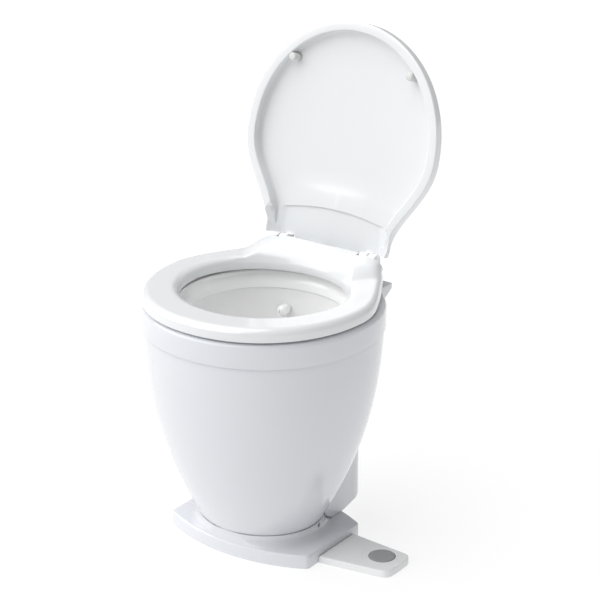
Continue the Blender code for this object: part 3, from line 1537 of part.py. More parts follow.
def build_discharge():
    """Outlet elbow, duckbill valve, hose tail through the housing, and the clamp at their joint."""
    face_x = outlet_x + elbow_bend + elbow_lead
    bend = [(face_x, outlet_y, outlet_z)]
    bend += [(x, y, outlet_z) for x, y in arc_points((outlet_x + elbow_bend, outlet_y + elbow_bend),
                                                     elbow_bend, elbow_bend, -90, -180, 5)]
    bend.append((outlet_x, elbow_end, outlet_z))
    elbow = piece("discharge_elbow", tube(bend, outlet_radius, 4), grey_plastic)
    flange = rod((outlet_x, elbow_end - tail_flange_wall, outlet_z), tail_flange_wall - touch_gap,
                 tail_flange_radius, along_y, 16)
    join(elbow, cutter("elbow_flange", flange))
    over = bend[:]
    over[0] = (face_x + cut_overrun / 4, outlet_y, outlet_z)
    over[-1] = (outlet_x, elbow_end + cut_overrun / 4, outlet_z)
    cut(elbow, cutter("elbow_bore", tube(over, outlet_bore, 3)))
    start = elbow_end + touch_gap
    bill = outlet_bore - touch_gap * 2
    profile = [(bill - joker_wall, 0), (joker_slit, joker_length), (joker_slit + joker_wall, joker_length),
               (bill, joker_flange), (tail_flange_radius, joker_flange), (tail_flange_radius, 0)]
    turned("joker_valve", profile, rubber_black, (outlet_x, start, outlet_z), along_y, 16)
    start += joker_flange + touch_gap
    length = housing_rear + tail_reach - start
    profile = [(outlet_bore, 0), (outlet_bore, length), (outlet_radius - tail_barb_rise, length)]
    barb = length
    for k in range(tail_barb_count):
        low = barb - tail_barb_pitch
        profile += [(outlet_radius, low), (outlet_radius - tail_barb_rise, low)]
        barb = low
    profile += [(outlet_radius - tail_barb_rise, barb - tail_barb_pitch / 2),
                (outlet_radius, barb - tail_barb_pitch / 2), (outlet_radius, tail_flange_wall),
                (tail_flange_radius, tail_flange_wall), (tail_flange_radius, 0)]
    turned("hose_tail", profile, grey_plastic, (outlet_x, start, outlet_z), along_y, 20)
    clamp_start = elbow_end + joker_flange / 2 - clamp_width / 2
    inner = tail_flange_radius + touch_gap
    turned("joint_clamp", ring_profile(inner, inner + clamp_wall, clamp_width), steel,
           (outlet_x, clamp_start, outlet_z), along_y, 24)


def spring(name, centre, radius, wire, height, turns, look, sides_of_wire=1, points_a_turn=10):
    """A coil spring that stands up from a point, as one unbroken wire."""
    count = int(turns * points_a_turn)
    rise = height - wire * 2
    route = []
    for k in range(count + 1):
        angle = 2 * math.pi * turns * k / count
        route.append((centre[0] + radius * math.cos(angle), centre[1] + radius * math.sin(angle),
                      centre[2] + wire + rise * k / count))
    return piece(name, tube(route, wire, sides_of_wire), look)


def build_valve():
    """Solenoid valve on the housing's rear wall: body with its inlet barb, coil, plunger and spring."""
    low = (valve_x - valve_half_width, valve_y - valve_half_depth, valve_z - valve_half_height)
    high = (valve_x + valve_half_width, valve_y + valve_half_depth, valve_z + valve_half_height)
    body = piece("valve_body", block(low, high), grey_plastic)
    bevel(body, relay_round, 2)
    barb_length = housing_rear + inlet_reach - valve_y
    join(body, cutter("inlet_barb", rod((valve_x, valve_y, valve_z), barb_length, inlet_radius, along_y, 16)))
    stub = rod((valve_x, valve_y - valve_half_depth - hose_stub, valve_z), hose_stub * 2, hose_radius,
               along_y, 12)
    join(body, cutter("outlet_stub", stub))
    bore_end = valve_y + plunger_radius + valve_seat_wall
    cut(body, cutter("inlet_bore", rod((valve_x, bore_end, valve_z), barb_length, inlet_bore, along_y, 12)))
    top = valve_z + valve_half_height
    well = plunger_radius + running_gap
    room_above = rod((valve_x, valve_y, top - plunger_sink), cut_overrun, well, steps=12)
    cut(body, cutter("plunger_well", room_above))
    stub_bore = rod((valve_x, valve_y - valve_half_depth - hose_stub - cut_overrun, valve_z),
                    cut_overrun + hose_stub * 2, hose_bore, along_y, 12)
    cut(body, cutter("stub_bore", stub_bore))
    start = top + touch_gap
    room = plunger_length - plunger_sink + touch_gap + plunger_travel + valve_spring_room
    profile = [(0, coil_height), (coil_radius, coil_height), (coil_radius, 0)]
    profile += [(well, 0), (well, room), (0, room)]
    turned("valve_coil", profile, black_plastic, (valve_x, valve_y, start), along_z, 20, closed=False)
    axis = axis_empty("plunger_axis", (valve_x, valve_y, top))
    plunger_low = top - plunger_sink + touch_gap
    plunger = piece("valve_plunger", rod((valve_x, valve_y, plunger_low), plunger_length, plunger_radius,
                                         steps=12), steel)
    hang(plunger, axis)
    spring_low = plunger_low + plunger_length + touch_gap
    spring_height = start + room - touch_gap - spring_low
    spring("valve_spring", (valve_x, valve_y, spring_low), plunger_radius - button_spring_wire * 2,
           button_spring_wire, spring_height, 3, steel, 1, 8)


def build_electrics():
    """Relay box on the housing's rear wall, and the cable gland beside the inlet."""
    rear = housing_rear - housing_wall - touch_gap
    box = block((relay_x - relay_width / 2, rear - relay_depth, relay_z - relay_height / 2),
                (relay_x + relay_width / 2, rear, relay_z + relay_height / 2))
    bevel(piece("relay_box", box, black_plastic), relay_round, 2)
    shank = housing_wall + touch_gap * 2 + gland_nut_height
    profile = [(gland_bore, 0), (gland_bore, shank + gland_reach),
               (gland_radius * gland_taper_share, shank + gland_reach),
               (gland_nut_radius, shank + gland_nut_height), (gland_nut_radius, shank),
               (gland_radius, shank), (gland_radius, 0)]
    start = housing_rear + touch_gap - shank
    turned("cable_gland", profile, black_plastic, (gland_x, start, gland_z), along_y, 16)
    nut = rod((gland_x, rear - gland_nut_height, gland_z), gland_nut_height, gland_nut_radius, along_y, 6)
    nut = piece("gland_nut", nut, black_plastic)
    cut(nut, cutter("nut_bore", rod((gland_x, rear - gland_nut_height * 2, gland_z), gland_nut_height * 4,
                                    gland_radius + touch_gap, along_y, 16)))


def pedal_outline(inset=0.0):
    root_x = base_half_width + pedal_gap
    points = [(root_x + inset, -pedal_root_near + inset), (pedal_nose_x - inset, -pedal_nose_near + inset)]
    middle = (pedal_nose_far - pedal_nose_near) / 2
    points += [(pedal_nose_x + pedal_nose_bulge - inset, middle)]
    points += [(pedal_nose_x - inset, pedal_nose_far - inset), (root_x + inset, pedal_root_far - inset)]
    return rounded(points, pedal_nose_radius - inset, 5, sharp=(0, 4))


def build_foot_switch():
    """Foot switch: a low shell beside the base, its floor, micro switch, spring and button."""
    shell = piece("switch_housing", prism(pedal_outline(), 0, pedal_height), pedal_white)
    bevel(shell, pedal_edge_round, 2, math.radians(50))
    hollow = prism(pedal_outline(pedal_wall), -cut_overrun, pedal_height - pedal_wall)
    cut(shell, cutter("switch_hollow", hollow))
    hole = rod((button_x, button_y, 0), pedal_height + cut_overrun, button_radius + button_gap, steps=32)
    cut(shell, cutter("button_hole", hole))
    root_x = base_half_width + pedal_gap
    tongue_low = (root_x - pedal_tongue_length, -pedal_tongue_half_width,
                  pedal_tongue_z - pedal_tongue_height / 2)
    tongue_high = (root_x + pedal_wall / 2, pedal_tongue_half_width, pedal_tongue_z + pedal_tongue_height / 2)
    join(shell, cutter("switch_tongue", block(tongue_low, tongue_high)))
    piece("switch_floor", prism(pedal_outline(pedal_wall + touch_gap), 0, pedal_floor_wall), pedal_white)
    axis = axis_empty("button_axis", (button_x, button_y, pedal_height))
    top = pedal_height + button_proud
    shoulder = pedal_height - pedal_wall - touch_gap
    flange_radius = button_radius + button_flange
    profile = [(0, top), (button_radius - button_proud, top), (button_radius, top - button_proud),
               (button_radius, shoulder), (flange_radius, shoulder), (flange_radius, shoulder - button_flange),
               (0, shoulder - button_flange)]
    button = turned("foot_button", profile, button_grey, (button_x, button_y, 0), along_z, 28, closed=False)
    hang(button, axis)
    low = pedal_floor_wall + touch_gap
    high = shoulder - button_flange - touch_gap
    spring("button_spring", (button_x, button_y, low), button_spring_radius, button_spring_wire, high - low,
           button_spring_turns, steel)
    micro = block((micro_x - micro_length / 2, button_y - micro_width / 2, low),
                  (micro_x + micro_length / 2, button_y + micro_width / 2, low + micro_height))
    bevel(piece("micro_switch", micro, black_plastic), touch_gap * 2, 1)


build_base()
build_lock_screws()
build_skirt()
build_band()
build_basin()
build_gasket()
build_nozzle()
build_hose()
build_housing()
build_hinge_bracket()
build_hinge_pins()
build_seat()
build_lid()
build_chamber()
build_back_plate()
build_rotor()
build_motor()
build_discharge()
build_valve()
build_electrics()
build_foot_switch()
bpy.context.view_layer.update()
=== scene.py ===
"""Looks of the electric toilet: smooth shells, seat, lid, hinge, foot switch and a plain studio.

Metres, +Z up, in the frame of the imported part. Geometry Nodes shape the bowl's shell and set the screws and
the rubber pads. Every piece rides on the body whose nodes it replaces.
"""
import json
from math import atan2, cos, hypot, pi, radians, sin, sqrt, tan

import bmesh
import bpy
from bpy.props import FloatProperty, FloatVectorProperty, IntProperty, PointerProperty
from mathutils import Matrix, Vector


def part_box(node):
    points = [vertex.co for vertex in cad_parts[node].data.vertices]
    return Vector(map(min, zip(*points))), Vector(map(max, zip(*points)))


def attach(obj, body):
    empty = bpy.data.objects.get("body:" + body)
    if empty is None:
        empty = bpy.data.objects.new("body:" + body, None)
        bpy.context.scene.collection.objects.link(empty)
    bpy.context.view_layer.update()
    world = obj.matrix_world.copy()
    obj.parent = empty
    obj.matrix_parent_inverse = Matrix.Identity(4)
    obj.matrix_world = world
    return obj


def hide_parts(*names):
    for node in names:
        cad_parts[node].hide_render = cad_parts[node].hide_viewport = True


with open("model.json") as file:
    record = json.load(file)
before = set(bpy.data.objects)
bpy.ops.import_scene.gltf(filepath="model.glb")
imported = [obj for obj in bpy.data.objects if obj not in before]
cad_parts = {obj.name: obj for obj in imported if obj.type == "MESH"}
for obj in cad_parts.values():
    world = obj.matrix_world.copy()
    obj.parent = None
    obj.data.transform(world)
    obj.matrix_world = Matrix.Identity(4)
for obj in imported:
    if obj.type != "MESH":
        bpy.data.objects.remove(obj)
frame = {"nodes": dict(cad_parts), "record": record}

bl_info = {
    "name": "Electric toilet looks",
    "version": (1, 0, 0),
    "blender": (4, 5, 0),
    "location": "View3D > Sidebar > Toilet",
    "description": "Builds the smooth shells, seat, lid, fittings and studio of an electric toilet",
    "category": "Object",
}

base_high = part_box("base_plate")[1]
skirt_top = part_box("bowl_skirt")[1].z
band_low, band_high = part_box("rim_band")
seat_low, seat_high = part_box("seat_ring")
housing_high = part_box("rear_housing")[1]
button_low, button_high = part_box("foot_button")
pedal_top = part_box("switch_housing")[1].z
nozzle_low, nozzle_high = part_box("rinse_nozzle")

# Fits: pieces that touch, pieces with play, the pedal's root, and how far a cut runs past what it cuts
touch_gap = 0.0003
running_gap = 0.0004
root_gap = 0.0006
overrun = 0.012

# Base and bowl shell
foot_half_width = 0.0956
foot_half_length = 0.0872
foot_centre_y = -0.0128
base_height = 0.021
plinth_height = 0.0175
plinth_spread = 0.014
plinth_wall = 0.006
base_front_y, base_rear_y = -0.070, 0.061
base_arc_rise = 0.032
foot_z = base_height + plinth_height + touch_gap
skirt_top_inset = 0.0022
skirt_wall = 0.005
rim_power = 2.1
straight_share = 0.15
belly_power = 2.3
lock_shank_length, lock_shank_radius, lock_head_room = 0.011, 0.0016, 0.0034
lock_z = foot_z - 0.005
lock_face = foot_half_width * sqrt(1 - (foot_centre_y / foot_half_length) ** 2) - 0.0012
housing_screw_x, housing_screw_y = 0.072, 0.073

# Rim, basin and seat
rim_half_width, rim_front, rim_rear = band_high.x, -band_low.y, band_high.y
band_top = band_high.z
band_width = 0.022
ledge_drop = 0.0085
opening_half_width = 0.126
opening_half_length = 0.122
lip_half_width = 0.117
lip_half_length = 0.115
lip_height = 0.342
basin_wall = 0.004
outlet_radius = 0.025
outlet_y = -0.010
outlet_top, outlet_end = 0.176, 0.1523
seat_bottom, seat_half_width, seat_front = seat_low.z, seat_high.x, -seat_low.y
seat_top = 0.392
seat_neck = 0.108
seat_neck_y = 0.150
seat_rear = 0.137
seat_power = 2.1
seat_roll, seat_edge, seat_corner, seat_under = 0.012, 0.011, 0.010, 0.003
seat_opening_rear = 0.110
seat_ear_inner, seat_ear_outer = 0.081, 0.094
deck_top = 0.412
deck_foot_y = -0.012
deck_ramp_y = 0.134
deck_slant_share = 0.935
deck_shoulder = 0.027
deck_inset = 0.0012
deck_flat_half = seat_neck - deck_inset - deck_shoulder
deck_low = seat_top - 0.011
deck_roll_foot = 0.380
hood_half, hood_rear, hood_wall = 0.0657, 0.145, 0.0015

# Hinge and lid
hinge_y = 0.148
hinge_z = 0.403
knuckle_radius = 0.010
knuckle_inner, knuckle_outer = 0.066, 0.0797
bracket_screw_x, bracket_screw_y = 0.074, 0.154
damper_radius = 0.0065
damper_start, damper_length = 0.010, 0.0357
pin_start, pin_length, pin_radius, pin_bore = 0.046, 0.0465, 0.003, 0.0034
lid_half_width = 0.1675
lid_neck = 0.109
lid_neck_reach = 0.020
lid_flank_power = 1.2
lid_length = 0.340
lid_widest = 0.163
lid_start = 0.008
lid_power = 2.03
lid_centre_y = -0.015
lid_lip_bottom = 0.3955
lid_edge_top = 0.4135
lid_crown = 0.008
lid_panel_wall = 0.004
lid_lip_width = 0.014
lid_room = 0.0025
lid_tab_y = 0.132
lid_open_angle = radians(105)

# Fittings: where they stand along X and Z
nozzle_at = ((nozzle_low.x + nozzle_high.x) / 2, (nozzle_low.z + nozzle_high.z) / 2)
hose_tail_at = (-0.060, 0.066)
gland_at = (0.028, 0.160)

looks = bpy.data.collections.new("toilet_looks")
bpy.context.scene.collection.children.link(looks)


def rgb(default, name, description):
    return FloatVectorProperty(name=name, description=description, default=default, subtype="COLOR",
                               size=3, min=0.0, max=1.0)


class FinishColours(bpy.types.PropertyGroup):
    """Colours of the finishes."""
    shell: rgb((0.715, 0.73, 0.765), "Shell white", "Gloss white of the bowl, band, base and housing")
    seat: rgb((0.80, 0.815, 0.83), "Seat white", "Warmer white of the seat and lid")
    basin: rgb((0.92, 0.92, 0.92), "Basin white", "White of the inner bowl")
    pedal: rgb((0.84, 0.845, 0.85), "Switch white", "White of the foot switch's housing")
    button: rgb((0.33, 0.335, 0.345), "Button grey", "Grey of the foot button")
    pad: rgb((0.70, 0.70, 0.69), "Pad colour", "Milky rubber of the pads under the seat and lid")
    black: rgb((0.025, 0.025, 0.028), "Black plastic", "Black moulded fittings")
    grey: rgb((0.30, 0.31, 0.32), "Grey plastic", "Grey moulded pump parts")
    steel: rgb((0.62, 0.62, 0.63), "Steel", "Screws, pins and shaft")
    copper: rgb((0.72, 0.36, 0.20), "Copper", "Windings of the motor")


class ShapeDetail(bpy.types.PropertyGroup):
    """How finely the pieces are made."""
    around: IntProperty(name="Steps around", description="Points around each shell", default=192, min=48)
    levels: IntProperty(name="Levels", description="Rings from the foot to the rim", default=48, min=8)


class ShellShape(bpy.types.PropertyGroup):
    """Shape of the bowl's shell."""
    foot_half_width: FloatProperty(name="Foot half width", description="Half of the foot's width",
                                   default=foot_half_width, unit="LENGTH")
    foot_half_length: FloatProperty(name="Foot half length", description="Half of the foot's length",
                                    default=foot_half_length, unit="LENGTH")
    straight_share: FloatProperty(name="Straight share", description="Share of the swelling that is even",
                                  default=straight_share)
    belly_power: FloatProperty(name="Belly power", description="How low the shell swells",
                               default=belly_power)


class StageLight(bpy.types.PropertyGroup):
    """Floor, lights and background."""
    floor: rgb((0.22, 0.22, 0.22), "Floor", "Colour of the floor")
    key: FloatProperty(name="Key light", description="Strength of the broad light from the left", default=3.1)
    spread: FloatProperty(name="Key spread", description="How broad the key light is",
                          default=radians(80), subtype="ANGLE")
    sky: FloatProperty(name="Background", description="Strength of the background", default=0.36)
    glow: FloatProperty(name="Floor glow", description="Light of the floor's light table", default=0.79)


class ToiletLooks(bpy.types.PropertyGroup):
    """All settings of the add-on."""
    colours: PointerProperty(type=FinishColours, name="Colours", description="Colours of the finishes")
    detail: PointerProperty(type=ShapeDetail, name="Detail", description="How finely the pieces are made")
    shell: PointerProperty(type=ShellShape, name="Shell", description="Shape of the bowl's shell")
    stage: PointerProperty(type=StageLight, name="Studio", description="Floor, lights and background")


def settings():
    return bpy.context.scene.toilet_looks


# Mesh helpers


def loft(rings, closed=False, strips=False):
    """Quads between rings of equal count. An open one is capped, in strips if its ends are bent."""
    bm = bmesh.new()
    rows = [[bm.verts.new(point) for point in ring] for ring in rings]
    pairs = list(zip(rows, rows[1:]))
    if closed:
        pairs.append((rows[-1], rows[0]))
    for lower, upper in pairs:
        for i in range(len(lower)):
            j = (i + 1) % len(lower)
            bm.faces.new((lower[i], lower[j], upper[j], upper[i]))
    if strips:
        for row in (rows[0], rows[-1]):
            last = len(row) - 1
            for i in range(last // 2):
                bm.faces.new((row[i], row[i + 1], row[last - i - 1], row[last - i]))
    elif not closed:
        bm.faces.new(list(reversed(rows[0])))
        bm.faces.new(rows[-1])
    return bm


def shape(name, bm, smooth=34):
    """An object from a bmesh with its faces turned out; edges sharper than an angle stay sharp."""
    bmesh.ops.recalc_face_normals(bm, faces=bm.faces)
    mesh = bpy.data.meshes.new(name)
    bm.to_mesh(mesh)
    bm.free()
    made = bpy.data.objects.new(name, mesh)
    looks.objects.link(made)
    mesh.shade_smooth()
    mesh.set_sharp_from_angle(angle=radians(smooth))
    made["smooth"] = smooth
    return made


def settle(made, smooth=None):
    """Turn an object's modifiers and place into a plain mesh at the origin."""
    bpy.context.view_layer.update()
    graph = bpy.context.evaluated_depsgraph_get()
    mesh = bpy.data.meshes.new_from_object(made.evaluated_get(graph), depsgraph=graph)
    mesh.transform(made.matrix_world)
    made.modifiers.clear()
    made.matrix_world = Matrix.Identity(4)
    made.data = mesh
    mesh.shade_smooth()
    mesh.set_sharp_from_angle(angle=radians(smooth or made.get("smooth", 34)))
    return made


def carve(made, steps, smooth=None, solver="EXACT"):
    """Cut away or join on other shapes, in order, and delete them."""
    for operation, other in steps:
        step = made.modifiers.new(operation.lower(), "BOOLEAN")
        step.operation = operation
        step.solver = solver
        step.object = other
    settle(made, smooth)
    for _, other in steps:
        bpy.data.objects.remove(other, do_unlink=True)
    return made


def tool(made):
    return made if isinstance(made, bpy.types.Object) else shape("tool", made)


def cut(made):
    return "DIFFERENCE", tool(made)


def joined(made):
    return "UNION", tool(made)


def common(made):
    return "INTERSECT", tool(made)


def softened(made, width, segments=3, angle=40):
    """A shape with its sharp edges rounded."""
    made = tool(made)
    step = made.modifiers.new("edges", "BEVEL")
    step.width = width
    step.segments = segments
    step.limit_method = "ANGLE"
    step.angle_limit = radians(angle)
    step.harden_normals = False
    return settle(made)


def block(low, high):
    low, high = Vector(low), Vector(high)
    bm = bmesh.new()
    place = Matrix.Translation((low + high) / 2) @ Matrix.Diagonal((*(high - low), 1.0))
    bmesh.ops.create_cube(bm, size=1.0, matrix=place)
    return bm


along_x = Matrix.Rotation(pi / 2, 4, "Y")
along_y = Matrix.Rotation(-pi / 2, 4, "X")
along_z = Matrix.Identity(4)
facing_left = Matrix.Rotation(pi, 4, "Z") @ along_x
sides = {"left": -1, "right": 1}


def side_turn(side):
    return along_x if side > 0 else facing_left


def rod(start, length, radius, turn=along_z, steps=48):
    bm = bmesh.new()
    place = Matrix.Translation(start) @ turn @ Matrix.Translation((0, 0, length / 2))
    bmesh.ops.create_cone(bm, cap_ends=True, segments=steps, radius1=radius, radius2=radius,
                          depth=length, matrix=place)
    return bm


def hinge_rod(side, inner, outer, radius, steps=64):
    return rod((side * inner, hinge_y, hinge_z), outer - inner, radius, side_turn(side), steps)


def turned(profile, start=(0, 0, 0), turn=along_z, steps=48, closed=True):
    """A turned shape from (radius, height) points. One that starts and ends on the axis stays open."""
    bm = bmesh.new()
    place = Matrix.Translation(start) @ turn
    rows = []
    for k in range(steps):
        angle = 2 * pi * k / steps
        c, s = cos(angle), sin(angle)
        spots = [place @ Vector((radius * c, radius * s, height)) for radius, height in profile]
        rows.append([bm.verts.new(spot) for spot in spots])
    count = len(profile)
    for here, there in zip(rows, rows[1:] + rows[:1]):
        for i in range(count if closed else count - 1):
            j = (i + 1) % count
            bm.faces.new((here[i], there[i], there[j], here[j]))
    bmesh.ops.remove_doubles(bm, verts=bm.verts, dist=0.00001)
    return bm


def prism(outline, low, high, axis="Z"):
    """An outline drawn across an axis and drawn out along it."""
    place = {"X": lambda a, b, h: (h, a, b), "Y": lambda a, b, h: (a, h, b), "Z": lambda a, b, h: (a, b, h)}
    return loft([[place[axis](a, b, height) for a, b in outline] for height in (low, high)])


def arc(centre, radius, start, end, steps, rise=None):
    """Points on a round or elliptic arc, angles in degrees."""
    points = []
    for k in range(steps + 1):
        angle = radians(start + (end - start) * k / steps)
        points.append((centre[0] + radius * cos(angle), centre[1] + (rise or radius) * sin(angle)))
    return points


def quarter(steps, first=0):
    """Along a quarter round: the shares of its radius that it has gone inwards, and has left to rise."""
    turns = [pi / 2 * k / steps for k in range(first, steps + 1)]
    return [(1 - cos(turn), 1 - sin(turn)) for turn in turns]


def round_drop(radius, into):
    """How far a quarter round lies below its top, a way in from its edge."""
    return radius - sqrt(max(0.0, radius ** 2 - (radius - into) ** 2))


def fullness(power):
    """How far a superellipse of a power fills out beyond an ellipse, half-way between its axes."""
    return 2 ** (0.5 - 1 / power) - 1


def oval(half_width, front, rear, centre_y=0.0, power=2.0):
    """An ellipse whose front and rear may differ, filled out between its axes like a superellipse."""
    steps = settings().detail.around
    points = []
    for step in range(steps):
        angle = 2 * pi * step / steps
        c, s = cos(angle), sin(angle)
        fill = 1 + fullness(power) * (2 * c * s) ** 2
        points.append((c * fill * half_width, centre_y + s * fill * (rear if s > 0 else front)))
    return points


def lift(outline, height):
    return [(x, y, height) for x, y in outline]


def domed(outline, top, soft, steps):
    """Rings that round off into their top. The outline is a function of its inset."""
    return [lift(outline(soft * gone), top - soft * left) for gone, left in quarter(steps, 1)]


def reach_to(side, front_y, rear_y, centre_y, angle):
    """How far a ray from (0, centre_y) goes before it leaves an outline given by its side function."""
    near, far = 0.0, 2 * (rear_y - front_y)
    c, s = cos(angle), sin(angle)
    for _ in range(40):
        middle = (near + far) / 2
        y = centre_y + middle * s
        inside = front_y < y < rear_y and abs(middle * c) < side(y)
        near, far = (middle, far) if inside else (near, middle)
    return near


def rounded(outline, radius, steps=8, least=radians(25), sharp=()):
    """An outline with its corners turned into arcs, but for those named as sharp."""
    points = []
    for i, corner in enumerate(outline):
        before, here = Vector(outline[i - 1]), Vector(corner)
        after = Vector(outline[(i + 1) % len(outline)])
        back, ahead = before - here, after - here
        turn = pi - back.angle(ahead)
        if turn < least or i in sharp:
            points.append(tuple(here))
            continue
        back.normalize()
        ahead.normalize()
        run = radius * tan(turn / 2)
        centre = here + (back + ahead).normalized() * (radius / cos(turn / 2))
        start = here + back * run - centre
        sweep = start.angle_signed(here + ahead * run - centre)
        for k in range(steps + 1):
            angle = -sweep * k / steps
            c, s = cos(angle), sin(angle)
            points.append((centre.x + start.x * c - start.y * s, centre.y + start.x * s + start.y * c))
    return points


# Node trees


class Nodes:
    """A node tree, with short calls for its nodes and their inputs."""

    def __init__(self, tree):
        self.tree = tree

    def feed(self, socket, value):
        value = getattr(value, "socket", value)
        if isinstance(value, bpy.types.NodeSocket):
            self.tree.links.new(value, socket)
        elif value is not None:
            socket.default_value = value

    def node(self, kind, *values, give=0, choose=None, **named):
        """A node with choices made, its first inputs fed in order and others by name. Gives one output."""
        made = self.tree.nodes.new(kind)
        for name, value in (choose or {}).items():
            setattr(made, name, value)
        for socket, value in zip(made.inputs, values):
            self.feed(socket, value)
        for name, value in named.items():
            self.feed(made.inputs[name.replace("_", " ")], value)
        return made.outputs[give]


class Finish(Nodes):
    """A procedural material on Object coordinates."""

    def __init__(self, name, colour, roughness, **more):
        self.material = bpy.data.materials.new(name)
        self.material.use_nodes = True
        self.material.diffuse_color = (*colour, 1)
        super().__init__(self.material.node_tree)
        self.colour = colour
        self.shader = self.tree.nodes["Principled BSDF"].inputs
        values = {"Base_Color": (*colour, 1), "Roughness": roughness, "Coat_Roughness": 0.05, **more}
        for label, value in values.items():
            self.feed(self.shader[label.replace("_", " ")], value)
        self.place = self.node("ShaderNodeTexCoord", give="Object")

    def placed(self, **named):
        return self.node("ShaderNodeMapping", self.place, **named)

    def noise(self, scale, depth, roughness=0.5, where=None):
        return self.node("ShaderNodeTexNoise", where or self.place, give="Fac",
                         Scale=scale, Detail=depth, Roughness=roughness)

    def wave(self, where, scale, distortion, **choose):
        return self.node("ShaderNodeTexWave", where, give="Fac", choose=choose,
                         Scale=scale, Distortion=distortion)

    def spread(self, source, low, high, start=0.3, end=0.7):
        return self.node("ShaderNodeMapRange", source, start, end, low, high)

    def tinted(self, source, darker, lighter, start=0.3, end=0.7):
        """Base colour that moves between two tones with a texture."""
        mix = self.tree.nodes.new("ShaderNodeMix")
        mix.data_type = "RGBA"
        self.feed(mix.inputs["Factor"], self.spread(source, 0.0, 1.0, start, end))
        for slot, tone in ((6, darker), (7, lighter)):
            mix.inputs[slot].default_value = (*[min(1, c * tone) for c in self.colour], 1)
        self.feed(self.shader["Base Color"], mix.outputs[2])

    def rough(self, source, low, high):
        self.feed(self.shader["Roughness"], self.spread(source, low, high))

    def bump(self, source, strength, distance):
        """A bump on top of the earlier ones."""
        normal = self.shader["Normal"]
        earlier = normal.links[0].from_socket if normal.is_linked else None
        self.feed(normal, self.node("ShaderNodeBump", Strength=strength, Distance=distance, Height=source,
                                    Normal=earlier))


def gloss_plastic(name, colour, roughness, coat, grain=0.25, wave=0.35):
    """Glossy moulded plastic: fine moulding skin, faint unevenness, handling marks in its gloss."""
    g = Finish(name, colour, roughness, Coat_Weight=coat)
    g.tinted(g.noise(5.0, 4), 0.982, 1.012)
    g.rough(g.noise(42.0, 6, 0.62), roughness * 0.80, roughness * 1.25)
    g.bump(g.noise(1500.0, 2), grain, 0.00002)
    g.bump(g.noise(26.0, 2), wave, 0.00012)
    return g.material


def matt_plastic(name, colour, roughness, grain_scale=1400.0, grain=0.5):
    """Fine spark-eroded grain, as on moulded fittings."""
    g = Finish(name, colour, roughness)
    g.tinted(g.noise(60.0, 5), 0.90, 1.12)
    g.rough(g.noise(90.0, 4), roughness * 0.85, min(1.0, roughness * 1.15))
    g.bump(g.node("ShaderNodeTexVoronoi", g.place, give="Distance", Scale=grain_scale), grain, 0.00005)
    return g.material


def button_rubber(name, colour, centre):
    """Soft grey button face: fine speckle and shallow turned rings round its middle."""
    g = Finish(name, colour, 0.52)
    rings = g.wave(g.placed(Location=(-centre[0], -centre[1], 0)), 160.0, 0.4,
                   wave_type="RINGS", rings_direction="Z")
    g.tinted(g.noise(2600.0, 2), 0.86, 1.10, 0.35, 0.65)
    g.rough(g.noise(300.0, 3), 0.44, 0.60)
    g.bump(rings, 0.16, 0.00010)
    g.bump(g.noise(1900.0, 2), 0.25, 0.00004)
    return g.material


def pad_rubber(name, colour):
    """Milky soft rubber that lets a little light in."""
    g = Finish(name, colour, 0.42, Subsurface_Weight=0.35, Subsurface_Radius=(0.004, 0.004, 0.004))
    g.tinted(g.noise(180.0, 3), 0.93, 1.04)
    g.rough(g.noise(420.0, 3), 0.36, 0.52)
    g.bump(g.noise(1100.0, 2), 0.2, 0.00004)
    return g.material


def turned_metal(name, colour, roughness, stretch):
    """Metal with drawn or turned lines: noise pulled long one way."""
    g = Finish(name, colour, roughness, Metallic=1.0, Anisotropic=0.5)
    lines = g.noise(1.0, 6, 0.6, g.placed(Scale=stretch))
    g.tinted(lines, 0.86, 1.08)
    g.rough(lines, roughness * 0.8, roughness * 1.3)
    g.bump(lines, 0.18, 0.00003)
    return g.material


def windings(name, colour):
    """Varnished copper wire laid in rows, with painted shade darkening the grooves between the rows."""
    g = Finish(name, colour, 0.32, Metallic=1.0, Coat_Weight=0.4)
    rows = g.wave(g.place, 260.0, 0.6, bands_direction="X")
    # Painted shade: the colour drops to 0.55 of the copper where these bands sink into the grooves between
    # wires
    g.tinted(rows, 0.55, 1.05, 0.0, 1.0)
    g.bump(rows, 0.7, 0.0003)
    return g.material


def enamel(name, colour):
    """Sprayed motor paint."""
    g = Finish(name, colour, 0.34, Metallic=0.15, Coat_Weight=0.25)
    g.tinted(g.noise(30.0, 4), 0.85, 1.15)
    g.rough(g.noise(120.0, 4), 0.28, 0.42)
    g.bump(g.noise(700.0, 3), 0.3, 0.00006)
    return g.material


def floor_paper(name, colour, glow):
    """Matt studio sheet on a light table, with the faintest mottling."""
    g = Finish(name, colour, 0.85, Specular_IOR_Level=0.2, Emission_Color=(1, 1, 1, 1),
               Emission_Strength=glow)
    g.tinted(g.noise(3.0, 5), 0.995, 1.005)
    g.bump(g.noise(240.0, 4), 0.1, 0.0001)
    return g.material


finishes = {}


def make_finishes():
    c = settings().colours
    finishes.update({
        "white_gloss": gloss_plastic("shell_gloss_white", c.shell, 0.15, 0.3),
        "warm_white": gloss_plastic("seat_warm_white", c.seat, 0.13, 0.5, 0.15, 0.25),
        "basin_white": gloss_plastic("basin_gloss_white", c.basin, 0.10, 0.6, 0.15, 0.4),
        "pedal_white": gloss_plastic("switch_satin_white", c.pedal, 0.18, 0.3, 0.15, 0.2),
        "button_grey": button_rubber("button_soft_grey", c.button, (button_low + button_high) / 2),
        "rubber_clear": pad_rubber("pad_milky_rubber", c.pad),
        "black_plastic": matt_plastic("fitting_black_plastic", c.black, 0.45),
        "grey_plastic": matt_plastic("pump_grey_plastic", c.grey, 0.40),
        "rubber_black": matt_plastic("hose_black_rubber", [v * 0.7 for v in c.black], 0.7, 900.0, 0.3),
        "steel": turned_metal("steel_turned", c.steel, 0.26, (900.0, 900.0, 60.0)),
        "motor_paint": enamel("motor_black_enamel", [v * 1.6 for v in c.black]),
        "copper": windings("motor_copper_windings", c.copper),
    })


